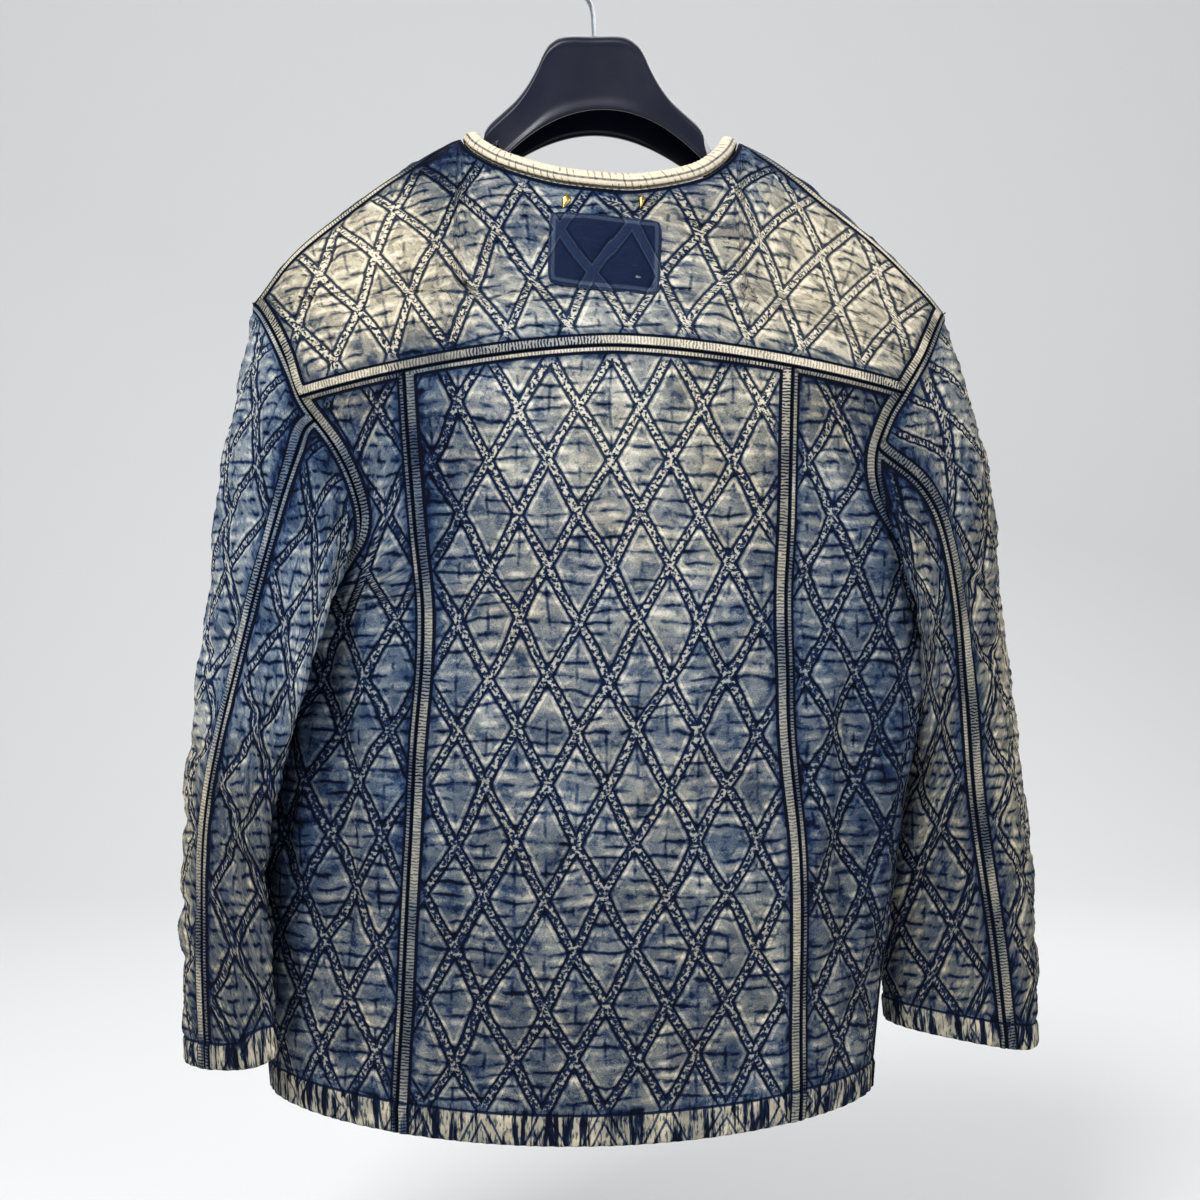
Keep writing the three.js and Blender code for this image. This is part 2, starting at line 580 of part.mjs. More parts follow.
// Patch and tacks: they lie on the yoke. Their corners are set by x and z, and the rest follows from
// the surface.
const LYING_GAP = 0.4;
const PATCH_THICKNESS = 1.2;
const TACK_THICKNESS = 1;
const PATCH_CORNERS = [[-31, -268], [48, -277], [50, -221], [-30, -213]];
const PATCH_COLUMNS = 6;
const PATCH_ROWS = 4;
const TACKS = {
  left: [[-20.5, -212], [-14, -205], [-17, -200], [-21.5, -203]],
  right: [[34.5, -212], [38.5, -205], [36.5, -200.5], [33.5, -203]],
};

function lying(corners, columns, rows, thickness) {
  const layer = (height) => steps(0, 1, rows).map((v) => steps(0, 1, columns).map((u) => {
    const [x, z] = [0, 1].map((axis) => lerp(
      lerp(corners[0][axis], corners[1][axis], u),
      lerp(corners[3][axis], corners[2][axis], u),
      v,
    ));
    const phi = Math.asin((x - ringCentre(z)) / ringHalf(z));
    const drop = -Math.sqrt(ridgeHeight(x) - z);
    return bodyPoint(phi, drop).addScaledVector(bodyNormal(phi, drop), height);
  }));
  return wall(layer(LYING_GAP + thickness), layer(LYING_GAP), false);
}

jacket.add(node('patch', lying(PATCH_CORNERS, PATCH_COLUMNS, PATCH_ROWS, PATCH_THICKNESS), INDIGO));
jacket.add(node('tack_left', lying(TACKS.left, 1, 1, TACK_THICKNESS), BRASS));
jacket.add(node('tack_right', lying(TACKS.right, 1, 1, TACK_THICKNESS), BRASS));

// Hanger: a hollow shell, open below, whose crown is the jacket's ridge from inside. It stands up in the
// neck as a broad block and is arched below, deeper on its far side.
const HANGER_CENTRE = 1.5;
const HANGER_WALL = 2.5;
const HANGER_CLEARANCE = 0.5;
const HANGER_REACH = 215;
const HANGER_BLOCK = 113;
const HANGER_CROWN = 13;
const hangerTop = curveThrough([
  [0, -70], [22, -70.5], [32, -76], [37, -83], [41, -92], [48, -105], [57, -117], [68, -127],
  [78, -136], [83, -144], [88, -152.5], [93, -155.5], [113, -160],
]);
const hangerHalf = curveThrough([
  [0, 26], [50, 26], [90, 19], [106, 17.5], [150, 18], [190, 17], [HANGER_REACH, 7],
]);
const ARCH_SPRINGING = -168;
const NEAR_ARCH = { centre: 6.5, span: 77, height: 39 };
const FAR_ARCH = { centre: 0, span: 77, height: 33 };
const HANGER_SIDE_DEPTH = 24;
const SHOULDER_SLOPE = 1;
const SHOULDER_START = 82;
const SHOULDER_MARGIN = 5;

const ridgeRow = (grid) => grid.at(-2).map(({ point, normal }) => {
  return point.clone().addScaledVector(normal, -WALL - HANGER_CLEARANCE);
});
const leftRidge = ridgeRow(leftFrontGrid).slice(0, END_COLUMNS + 1);
const rightRidge = ridgeRow(rightFrontGrid).slice(-END_COLUMNS - 1);
function underRidge(x) {
  const line = x < 0 ? leftRidge : rightRidge;
  const i = line.findIndex((point) => point.x > x);
  return lerp(line[i - 1].z, line[i].z, (x - line[i - 1].x) / (line[i].x - line[i - 1].x));
}
const shoulderXs = [...leftRidge, ...rightRidge].map(({ x }) => x).filter((x) => {
  const d = Math.abs(x - HANGER_CENTRE);
  return d > HANGER_BLOCK + SHOULDER_MARGIN && d < HANGER_REACH - SHOULDER_MARGIN;
});
const BLOCK_STATIONS = [8, 22, 32, 37, 41, 48, 57, 68, 78, 83, 88, 93];
const blockXs = [...BLOCK_STATIONS, HANGER_BLOCK, HANGER_REACH].flatMap((d) => {
  return [HANGER_CENTRE - d, HANGER_CENTRE + d];
});
const hangerXs = [...shoulderXs, ...blockXs].sort((a, b) => a - b);

function hangerSection(x, inset) {
  const d = Math.abs(x - HANGER_CENTRE);
  const top = (d <= HANGER_BLOCK ? hangerTop(d) : underRidge(x)) - inset;
  const half = hangerHalf(d) - inset;
  const crown = Math.min(HANGER_CROWN - inset, half);
  const slope = d > SHOULDER_START ? SHOULDER_SLOPE : 0;
  const under = (arch) => {
    const across = Math.abs(x - HANGER_CENTRE - arch.centre) / arch.span;
    return across < 1 ? ARCH_SPRINGING + arch.height * (1 - across ** 2) : top + inset - HANGER_SIDE_DEPTH;
  };
  const arc = [90, 60, 30].map((angle) => {
    const y = half * Math.sin(radians(angle));
    return [y, top - Math.max(crown * (1 - Math.cos(radians(angle))), slope * y)];
  });
  return [
    new THREE.Vector3(x, -half, under(NEAR_ARCH)),
    ...arc.map(([y, z]) => new THREE.Vector3(x, -y, z)),
    new THREE.Vector3(x, 0, top),
    ...arc.reverse().map(([y, z]) => new THREE.Vector3(x, y, z)),
    new THREE.Vector3(x, half, under(FAR_ARCH)),
  ];
}
const hangerSkins = [0, HANGER_WALL].map((inset) => hangerXs.map((x) => hangerSection(x, inset)));
jacket.add(node('hanger_body', wall(...hangerSkins, true), BLACK_PLASTIC));

// Hook: a bent wire standing on the block. Its inside top is the origin.
const HOOK_RADIUS = 1.6;
const HOOK_PATH = [
  [1.5, -70 + SEAM_GAP], [1.2, -60], [0.5, -50], [-2.5, -41], [-11, -33.5], [-18, -25], [-20, -15],
  [-14.5, -3.5], [0, HOOK_RADIUS], [14.5, -4], [19.6, -16], [19.9, -24],
];
const hookLine = new THREE.CatmullRomCurve3(
  HOOK_PATH.map(([x, z]) => new THREE.Vector3(x, 0, z)), false, 'centripetal',
);
const HOOK_RINGS = 32;
const hookRings = steps(0, 1, HOOK_RINGS).map((t) => {
  const along = hookLine.getTangent(t);
  const across = new THREE.Vector3(0, -HOOK_RADIUS, 0);
  return { centre: hookLine.getPoint(t), across, up: along.clone().cross(across) };
});
jacket.add(node('hanger_hook', rod(hookRings), STEEL));

export default jacket;
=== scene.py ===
import bpy
import numpy as np
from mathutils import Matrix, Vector


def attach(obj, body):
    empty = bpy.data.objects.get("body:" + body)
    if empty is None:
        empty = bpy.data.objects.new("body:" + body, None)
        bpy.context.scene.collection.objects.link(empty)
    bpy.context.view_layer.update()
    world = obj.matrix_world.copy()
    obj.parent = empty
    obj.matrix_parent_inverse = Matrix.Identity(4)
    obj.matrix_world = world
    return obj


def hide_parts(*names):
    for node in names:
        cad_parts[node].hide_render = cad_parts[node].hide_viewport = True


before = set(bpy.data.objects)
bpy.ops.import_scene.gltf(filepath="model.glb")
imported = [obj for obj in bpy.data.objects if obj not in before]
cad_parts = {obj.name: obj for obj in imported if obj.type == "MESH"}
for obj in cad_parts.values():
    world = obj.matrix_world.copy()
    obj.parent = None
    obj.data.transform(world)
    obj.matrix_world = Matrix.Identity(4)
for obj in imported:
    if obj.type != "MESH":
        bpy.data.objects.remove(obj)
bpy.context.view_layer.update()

# Middle of the back: the largest piece of the cut, from the yoke seam to the hem, between the two long
# back seams. Two layers of denim are quilted over thin wadding in diamonds, each line of quilting a
# pair of rows of stitches with a corded channel between them, then the made-up coat is washed pale.
MM = 0.001
HEM_SIDE, HEM_DIP = -854, 17
SIDE_ROUNDING, MIDDLE_ROUNDING = 4, 50
RIDGE_MIDDLE = -130.0
YOKE_MIDDLE, YOKE_FALL, YOKE_CENTRE, YOKE_REACH, YOKE_CURVE = -312, 32, 14, 225, 1.6


def curve_through(stations):
    """A smooth curve through given stations (place, value): a cubic between each two, whose slope
    at a station is that of the line between its neighbours. Past the ends it keeps the end value."""
    at, value = np.array(stations, float).T
    before = np.maximum(np.arange(len(at)) - 1, 0)
    after = np.minimum(np.arange(len(at)) + 1, len(at) - 1)
    slope = (value[after] - value[before]) / (at[after] - at[before])

    def curve(place):
        place = np.clip(place, at[0], at[-1])
        i = np.clip(np.searchsorted(at, place, side="right") - 1, 0, len(at) - 2)
        span = at[i + 1] - at[i]
        t = (place - at[i]) / span
        rise = (value[i + 1] - value[i]) * t * t * (3 - 2 * t)
        bend = t * (1 - t) ** 2 * slope[i] + t * t * (t - 1) * slope[i + 1]
        return value[i] + rise + bend * span

    return curve


left_side = curve_through([
    (-857, -238), (-790, -243), (-690, -247), (-610, -241), (-500, -228), (-435, -238), (-343, -254),
    (-272, -262),
])
right_side = curve_through([
    (-857, 208), (-790, 214), (-720, 223), (-638, 233), (-550, 249), (-485, 252), (-435, 260),
    (-343, 268), (-272, 275),
])
back_depth = curve_through([
    (-857, 94), (-760, 94), (-650, 96), (-520, 98), (-435, 97), (-343, 92), (-260, 84), (-190, 72),
    (-140, 64),
])
front_depth = curve_through([
    (-857, 84), (-650, 87), (-520, 90), (-435, 90), (-343, 86), (-260, 80), (-190, 72), (-140, 64),
])
ridge_height = curve_through([
    (-275, -300), (-255, -273), (-247, -262), (-219, -228), (-181, -197), (-144, -171), (-98, -146.5),
    (-60, -135), (6, -130), (70, -136), (110, -149.5), (148, -171), (180, -197), (208, -220),
    (243, -254), (263, -277), (285, -304),
])
left_back_seam = curve_through([
    (-849, -33), (-770, -31), (-665, -30), (-560, -32), (-462, -33), (-338, -32),
])
right_back_seam = curve_through([
    (-839, 47), (-770, 45), (-665, 41), (-560, 33), (-455, 31), (-342, 31),
])


def ring_centre(z):
    return (left_side(z) + right_side(z)) / 2


def ring_half(z):
    return (right_side(z) - left_side(z)) / 2


def ring_x(phi, z):
    return ring_centre(z) + ring_half(z) * np.sin(phi)


def ring_phi(x, z):
    return np.arcsin(np.clip((x - ring_centre(z)) / ring_half(z), -1, 1))


def yoke_height(x):
    return YOKE_MIDDLE - YOKE_FALL * (np.abs(x - YOKE_CENTRE) / YOKE_REACH) ** YOKE_CURVE


def hem_height(phi):
    return HEM_SIDE - HEM_DIP * np.cos(phi) ** 2


def body_depth(face, phi, drop, z):
    """How far a ring stands forward, or back where face is below zero: its depth times the cosine of
    phi, opened out from the shoulder ridge as the root of 1 - exp(-drop^2)."""
    depth = np.where(face < 0, back_depth(z), front_depth(z))
    rounding = SIDE_ROUNDING + (MIDDLE_ROUNDING - SIDE_ROUNDING) * np.cos(phi)
    opened = np.sqrt(1 - np.exp(-drop * drop / rounding))
    return np.sign(face) * depth * np.cos(phi) * opened


def body_point(phi, drop):
    """The jacket's body as one surface: phi is the angle round a ring, 0 in the middle and a quarter
    turn at the sides, and the square of drop is the depth below the shoulder ridge, with drop below
    zero down the back."""
    z = np.full(np.broadcast(phi, drop).shape, RIDGE_MIDDLE)
    for _ in range(10):
        z = ridge_height(ring_x(phi, z)) - drop * drop
    return np.stack([ring_x(phi, z), body_depth(drop, phi, drop, z), z], axis=-1)


def body_place(face, x, z):
    """The point of the body's surface at x and z, on its back where face is -1."""
    drop = np.sqrt(np.maximum(ridge_height(x) - z, 0))
    return np.stack([x, body_depth(face, ring_phi(x, z), drop, z), z], axis=-1)


def below_yoke(face, edge_from, edge_to):
    """A surface between two upright edges: share across, and row up from the hem, 0, to the height of
    the yoke's seam, 1."""
    def surface(share, row):
        z = HEM_SIDE + (YOKE_MIDDLE - HEM_SIDE) * row + 0 * share
        for _ in range(16):
            phi = edge_from(z) * (1 - share) + edge_to(z) * share
            x = ring_x(phi, z)
            z = hem_height(phi) * (1 - row) + yoke_height(x) * row
        return body_place(face, x, z)

    return surface


GRAIN = 2.1
ROLL = [0, 0.5, 1.3]
FINE_STATIONS, LONGEST_STEP = 1201, 5


def spaced(surface, axis, rows, grain):
    """Shares across a surface, axis 1, or rows up it, axis 0, whose lines lie a grain apart where they
    are widest. Their steps are even in number, with short ones at both ends."""
    fine = np.linspace(0, 1, FINE_STATIONS) if axis else np.linspace(*rows, FINE_STATIONS)
    if axis:
        points = surface(*np.meshgrid(fine, np.linspace(*rows, 15)))
    else:
        points = surface(*np.meshgrid(np.linspace(0, 1, 9), fine))
    step = np.linalg.norm(np.diff(points, axis=axis), axis=-1).max(axis=1 - axis)
    step = np.minimum(step, LONGEST_STEP * np.median(step))
    along = np.concatenate([[0], np.cumsum(step)])
    count = 2 * int(np.ceil(along[-1] / grain / 2))
    even = np.linspace(0, along[-1], count + 1)[1:-1]
    wanted = np.concatenate([ROLL, even, along[-1] - np.array(ROLL[::-1])])
    return np.interp(wanted, along, fine)


def laid_out(surface, rows=(0, 1), grain=GRAIN):
    """The points of a surface on a grid of such lines."""
    return surface(*np.meshgrid(spaced(surface, 1, rows, grain), spaced(surface, 0, rows, grain)))


def unit(vectors):
    """Vectors at a length of 1."""
    return vectors / np.linalg.norm(vectors, axis=-1, keepdims=True)


def run_along(points, axis):
    """Distance in mm along a grid's lines, or along one line, from the first point."""
    step = np.linalg.norm(np.diff(points, axis=axis), axis=-1)
    start = np.zeros_like(np.take(step, [0], axis=axis))
    return np.concatenate([start, np.cumsum(step, axis=axis)], axis=axis)


def from_line(points, line):
    """Each point's distance from a line of points, and how far along the line it is nearest."""
    flat = points.reshape(-1, 3)
    gap2 = (flat ** 2).sum(1)[:, None] + (line ** 2).sum(1) - 2 * flat @ line.T
    nearest = np.argmin(gap2, axis=1)
    away = flat - line[nearest]
    tangent = unit(np.gradient(line, axis=0))
    past = (away * tangent[nearest]).sum(1)
    inside = (nearest > 0) & (nearest < len(line) - 1)
    gap = np.sqrt(np.maximum((away ** 2).sum(1) - np.where(inside, past, 0) ** 2, 0))
    shape = points.shape[:2]
    return gap.reshape(shape), (run_along(line, 0)[nearest] + past).reshape(shape)


def smooth(low, high, value):
    """0 below low, 1 above high, and an S-shaped rise between them."""
    t = np.clip((value - low) / (high - low), 0, 1)
    return t * t * (3 - 2 * t)


WAVES = 16


def rumple(u, v, across, up, seed):
    """Soft unevenness of about -1 to 1: the sum of many waves, drawn at random round the two lengths
    given in mm, over twice the root of half their number."""
    draw = np.random.default_rng(seed)
    total = np.zeros_like(u)
    for _ in range(WAVES):
        turn = u * draw.normal() / across + v * draw.normal() / up + draw.random()
        total += np.sin(2 * np.pi * turn)
    return total / (WAVES / 2) ** 0.5 / 2


def folds(u, v, creases):
    """Height of the main folds. Each is a start, an end, a bow, a half width and a height in mm: a
    bell-shaped ridge, or trough where the height is negative, along a bowed line that fades out at
    both ends."""
    total = np.zeros_like(u)
    for (u0, v0), (u1, v1), bow, half, height in creases:
        length = np.hypot(u1 - u0, v1 - v0)
        on = ((u - u0) * (u1 - u0) + (v - v0) * (v1 - v0)) / length ** 2
        off = ((v - v0) * (u1 - u0) - (u - u0) * (v1 - v0)) / length - bow * 4 * on * (1 - on)
        total += height * np.exp(-((off / half) ** 2)) * np.sin(np.pi * np.clip(on, 0, 1)) ** 0.7
    return total


def blots(u, v, base, spots):
    """A value over a piece, such as how far the dye has washed out, 0 to 1, lowered where shade is
    painted: a base, and soft round spots (u, v, half width, half height, amount) added to it."""
    total = np.full(u.shape, float(base))
    for u0, v0, wide, high, amount in spots:
        total += amount * np.exp(-(((u - u0) / wide) ** 2) - ((v - v0) / high) ** 2)
    return total


DIAMOND_WIDTH, DIAMOND_HEIGHT = 42.4, 76.2
LINE_GAP = 1 / np.hypot(1 / DIAMOND_WIDTH, 1 / DIAMOND_HEIGHT)
CHANNEL_HALF = 3.1
PUFF, CORD, SWELL, SUNK, PUFF_VARIES = 3.0, 0.7, 4.6, 1.3, 0.16
WIDE_BAND, NARROW_BAND = 8.2, 5.0
BAND_RISE, BORDER_DIP, JOIN_DIP, RAW_EDGE_DIP = 0.9, 0.9, 1.9, 2.4
HEM_DEPTH, CUFF_DEPTH = 22, 19
HEM_RISE, HEM_PUCKER, HEM_PUCKER_PITCH, HEM_LINE_DIP = 0.9, 0.55, 10.5, 0.9
CRUMPLE, FOLD_DEPTH, SAG = 0.75, 1.5, 1.1
CRUMPLE_WAVES, SAG_WAVES, FOLDS_FADE = (30, 9), (150, 120), (0, 14)
PADDED_PAST_BAND, PADDED_PAST_HEM, PADDED_PAST_RAW = (0.5, 7), (-2, 9), (0, 8)
CLOTH_THICKNESS = 2.6
LATTICE_BEND, BEND_WAVES = 0.06, (150, 130)
NO_EDGE = 99.0


def quilting(p, q, loose, seed):
    """Height of the padding over the form. It swells between the lines at whole p and whole q as
    1 - exp(-distance) from both, with a low cord along each line, and is flat where loose is 0."""
    gap_p = np.abs(p - np.round(p)) * LINE_GAP
    gap_q = np.abs(q - np.round(q)) * LINE_GAP
    swell_p = 1 - np.exp(-np.maximum(gap_p - CHANNEL_HALF, 0) / SWELL)
    swell_q = 1 - np.exp(-np.maximum(gap_q - CHANNEL_HALF, 0) / SWELL)
    near = np.minimum(gap_p, gap_q)
    cord = np.clip(1 - (near / CHANNEL_HALF) ** 2, 0, 1)
    uneven = 1 + PUFF_VARIES * rumple(p * LINE_GAP, q * LINE_GAP, 70, 70, seed)
    return (PUFF * swell_p * swell_q * uneven + CORD * cord - SUNK) * loose


def grid_normals(points, flip):
    """Unit normals of a grid: columns crossed with rows, turned round where flip is -1."""
    return unit(flip * np.cross(np.gradient(points, axis=1), np.gradient(points, axis=0)))


def quads(index, turn=1):
    """The quads of a grid of vertex numbers, wound one way or the other."""
    corners = [index[:-1, :-1], index[:-1, 1:], index[1:, 1:], index[1:, :-1]]
    return np.stack(corners[::turn], axis=-1).reshape(-1, 4)


def into_scene(name, data):
    """An object made of its data and put into the scene, at the origin."""
    made = bpy.data.objects.new(name, data)
    bpy.context.scene.collection.objects.link(made)
    return made


def shell(name, outer, inner, flip, values):
    """A closed thin shell: a grid of points outside, one with half as many inside, and a rim between.
    values holds three numbers at each outside point, which the inside below it shares."""
    rows, columns = outer.shape[:2]
    inner_rows, inner_columns = inner.shape[:2]
    outside = np.arange(rows * columns).reshape(rows, columns)
    inside = rows * columns + np.arange(inner_rows * inner_columns).reshape(inner_rows, inner_columns)

    def rim(edge, lining, turn):
        """Triangles from an edge of the outside to one of the inside with half as many steps."""
        a, b, c = edge[:-1:2], edge[1::2], edge[2::2]
        m, n = lining[:-1], lining[1:]
        sets = [(a, m, b), (b, m, n), (b, n, c)]
        return np.concatenate([np.stack(s[::turn], axis=-1) for s in sets])

    faces4 = np.concatenate([quads(outside, flip), quads(inside, -flip)])
    faces3 = np.concatenate([
        rim(outside[0], inside[0], flip), rim(outside[-1], inside[-1], -flip),
        rim(outside[:, 0], inside[:, 0], -flip), rim(outside[:, -1], inside[:, -1], flip),
    ])
    mesh = bpy.data.meshes.new(name)
    vertices = np.concatenate([outer.reshape(-1, 3), inner.reshape(-1, 3)]) * MM
    mesh.from_pydata(vertices, [], faces4.tolist() + faces3.tolist())
    mesh.shade_smooth()

    def both(value):
        """A value at each vertex of the outside, and of the inside below it."""
        value = value + np.zeros((rows, columns))
        return np.concatenate([value.ravel(), value[::2, ::2].ravel()])

    for title, three in values.items():
        layer = mesh.attributes.new(title, "FLOAT_VECTOR", "POINT")
        layer.data.foreach_set("vector", np.stack([both(x) for x in three], axis=-1).ravel())

    # The flat map: the outside on most of it, the inside along the top, and the rim in a thin strip
    # just off the outside's edges.
    start, wide, high, strip = 0.02, 0.96, 0.78, 0.008
    inside_start, inside_high = 0.84, 0.18
    flat = np.stack([
        both(np.linspace(start, start + wide, columns)[None]),
        both(np.linspace(start, start + high, rows)[:, None]),
    ], axis=-1)
    flat[rows * columns:, 1] = inside_start + (flat[rows * columns:, 1] - start) * inside_high
    corner = np.zeros(len(mesh.loops), np.int32)
    mesh.loops.foreach_get("vertex_index", corner)
    places = flat[corner]
    on_rim = corner[faces4.size:]
    lining = on_rim >= rows * columns
    r, c = np.divmod(on_rim[lining] - rows * columns, inner_columns)
    share = np.stack([c / (inner_columns - 1), r / (inner_rows - 1)], axis=-1)
    off_edge = strip * ((share > 0.999) * 1.0 - (share < 0.001))
    places[faces4.size:][lining] = start + share * (wide, high) + off_edge
    layer = mesh.uv_layers.new(name="OFBake")
    layer.uv.foreach_set("vector", places.astype(np.float32).ravel())

    piece = into_scene(name, mesh)
    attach(piece, "root")
    return piece


def cloth_size(points):
    """The cut of a grid in metres, across and along, and its area in square metres."""
    across, along = np.diff(points, axis=1)[:-1], np.diff(points, axis=0)[:, :-1]
    wide = np.linalg.norm(across, axis=-1).sum(1).max() * MM
    long = np.linalg.norm(along, axis=-1).sum(0).max() * MM
    area = np.linalg.norm(np.cross(across, along), axis=-1).sum() * MM * MM
    return (wide, long), min(area, wide * long)


def bent_lattice(lattice, points, seed, u=None, v=None):
    """The two numbers of a lattice of quilting, bent softly by x and z as hand-guided rows wander."""
    x, z = points[..., 0], points[..., 2]
    p, q = lattice(points, u, v)
    p = p + LATTICE_BEND * rumple(x, z, *BEND_WAVES, seed + 40)
    return p, q + LATTICE_BEND * rumple(x, z, *BEND_WAVES, seed + 41)


def flat_place(points, u, v):
    """Where a fold is placed by x and z."""
    return points[..., 0], points[..., 2]


def make_cloth(name, points, flip, seams, lattice, creases, wash_and_shade, seed, place=flat_place, hem=None,
               free=()):
    """One quilted piece of the cut. seams lists its joined edges: which edge, how wide the felled band
    on it is, and where along it if not everywhere. hem is its turned edge and depth, and free lists
    the edges left raw."""
    u, v = run_along(points, 1), run_along(points, 0)
    edges = {"left": points[:, 0], "right": points[:, -1], "bottom": points[0], "top": points[-1]}
    from_join, past_band, along_band = np.full((3, *u.shape), NO_EDGE)
    for edge, width, *where in seams:
        line = edges[edge][where[0](edges[edge])] if where else edges[edge]
        gap, along = from_line(points, line)
        nearer = gap - width < past_band
        past_band = np.where(nearer, gap - width, past_band)
        along_band = np.where(nearer, along, along_band)
        from_join = np.minimum(from_join, gap)
    from_hem = from_line(points, edges[hem[0]])[0] if hem else NO_EDGE + 0 * u
    above_hem = from_hem - (hem[1] if hem else 0)
    raw = np.minimum.reduce([NO_EDGE + 0 * u] + [from_line(points, edges[edge])[0] for edge in free])
    inset = np.minimum.reduce([from_join, raw, from_hem])
    p, q = bent_lattice(lattice, points, seed, u, v)
    loose = smooth(*PADDED_PAST_BAND, past_band) * smooth(*PADDED_PAST_HEM, above_hem)
    loose = loose * smooth(*PADDED_PAST_RAW, raw)
    # How pale the cloth is: its wash, lowered where shade is painted on the piece; and how brown.
    dye_and_shade, tan = wash_and_shade(points)

    # The padding; the felled bands and their sunk lines; the puckered hem and its line; raw edges
    height = quilting(p, q, loose, seed)
    height += BAND_RISE * (1 - smooth(-0.6, 1.8, past_band))
    height -= BORDER_DIP * np.exp(-((past_band - 0.6) / 1.6) ** 2)
    height -= JOIN_DIP * np.clip(1 - from_join / 1.5, 0, 1) ** 2
    pucker = np.sin(u * 2 * np.pi / HEM_PUCKER_PITCH + 2.2 * rumple(u, v, 60, 200, seed + 5))
    height += (1 - smooth(-1, 1, above_hem)) * (HEM_RISE + HEM_PUCKER * pucker)
    height -= HEM_LINE_DIP * np.exp(-((above_hem + 0.2) / 1.5) ** 2)
    height -= RAW_EDGE_DIP * np.clip(1 - np.minimum(raw, from_hem) / 2.2, 0, 1) ** 2
    height += CRUMPLE * rumple(u, v, *CRUMPLE_WAVES, seed + 1) * loose

    # The folds, which both sides of the cloth follow
    main = FOLD_DEPTH * folds(*place(points, u, v), creases) + SAG * rumple(u, v, *SAG_WAVES, seed + 2)
    main = main * smooth(*FOLDS_FADE, inset)
    normals = grid_normals(points, flip)
    outer = points + normals * (height + main)[..., None]
    inner = (points + normals * (main - CLOTH_THICKNESS)[..., None])[::2, ::2]
    drift = (seed * 0.317) % 5
    piece = shell(name, outer, inner, flip, {
        "cut": (u * MM + drift, v * MM + drift, 0),
        "quilt": (p, q, loose),
        "band": (from_join, past_band, along_band),
        "dye_and_shade": (dye_and_shade, tan, above_hem),
    })
    piece.data.materials.append(DENIM)
    return piece


class Wire:
    """A socket of a material's nodes, on which the usual operators add Math nodes."""

    def __init__(self, tree, socket=None):
        self.tree = tree
        self.socket = socket

    def node(self, kind, inputs, output=0, stops=None, **settings):
        """Any other node: its settings come first, then the values or links of its sockets."""
        made = self.tree.nodes.new(kind)
        for name, value in settings.items():
            setattr(made, name, value)
        if stops:
            ramp = made.color_ramp
            while len(ramp.elements) < len(stops):
                ramp.elements.new(0.5)
            for element, (place, colour) in zip(ramp.elements, stops):
                element.position, element.color = place, colour
        for name, value in inputs.items():
            if isinstance(value, Wire):
                self.tree.links.new(value.socket, made.inputs[name])
            else:
                made.inputs[name].default_value = value
        return Wire(self.tree, made.outputs[output])

    def math(self, operation, *values):
        return self.node("ShaderNodeMath", dict(enumerate(values)), operation=operation)

    def __add__(self, other):
        return self.math("ADD", self, other)

    def __radd__(self, other):
        return self.math("ADD", other, self)

    def __sub__(self, other):
        return self.math("SUBTRACT", self, other)

    def __rsub__(self, other):
        return self.math("SUBTRACT", other, self)

    def __mul__(self, other):
        return self.math("MULTIPLY", self, other)

    def __rmul__(self, other):
        return self.math("MULTIPLY", other, self)

    def __truediv__(self, other):
        return self.math("DIVIDE", self, other)

    def __abs__(self):
        return self.math("ABSOLUTE", self)

    def rises(self, low, high):
        """0 below low and 1 above high, with an S-shaped rise, or fall where high is the lower."""
        ends = {"Value": self, "From Min": low, "From Max": high}
        return self.node("ShaderNodeMapRange", ends, interpolation_type="SMOOTHSTEP")

    def line(self, place, half):
        """1 on a line where the value is place, fading to 0 at half to either side."""
        return abs(self - place).rises(half, half * 0.35)

    def from_whole(self):
        """How far this value is from the nearest whole number."""
        return abs(self - self.math("ROUND", self))

    def mixed(self, first, second):
        """first where this value is 0 and second where it is 1, as colours."""
        return self.node("ShaderNodeMix", {0: self, 6: first, 7: second}, 2, data_type="RGBA")

    def parts(self):
        """The three numbers of a vector."""
        split = self.tree.nodes.new("ShaderNodeSeparateXYZ")
        self.tree.links.new(self.socket, split.inputs[0])
        return [Wire(self.tree, output) for output in split.outputs]

    def stretched(self, x, y, z=1.0):
        """This place with each of its numbers multiplied."""
        return self.node("ShaderNodeVectorMath", {0: self, 1: (x, y, z)}, operation="MULTIPLY")

    def noise(self, scale, detail=4.0, roughness=0.55):
        """Cloudy noise of 0 to 1 at this place."""
        inputs = {"Vector": self, "Scale": scale, "Detail": detail, "Roughness": roughness}
        return self.node("ShaderNodeTexNoise", inputs)

    def attribute(self, title):
        """The three numbers that a piece holds at each of its points under a title, as a vector."""
        return self.node("ShaderNodeAttribute", {}, 1, attribute_name=title)

    def coloured(self, stages):
        """The colour that this value has along a row of them."""
        return self.node("ShaderNodeValToRGB", {0: self}, stops=stages)

    def bump(self, strength, distance):
        """This value as a height in relief."""
        inputs = {"Height": self, "Strength": strength, "Distance": distance}
        return self.node("ShaderNodeBump", inputs)

    def feeds(self, socket):
        """Leads this value to one of the sockets of the material's shader."""
        self.tree.links.new(self.socket, self.tree.nodes["Principled BSDF"].inputs[socket])


def paint(red, green, blue):
    """A colour given as it looks on a screen, 0 to 255, as light for a shader."""
    seen = np.array([red, green, blue]) / 255
    light = np.where(seen <= 0.04045, seen / 12.92, ((seen + 0.055) / 1.055) ** 2.4)
    return (*light.tolist(), 1.0)


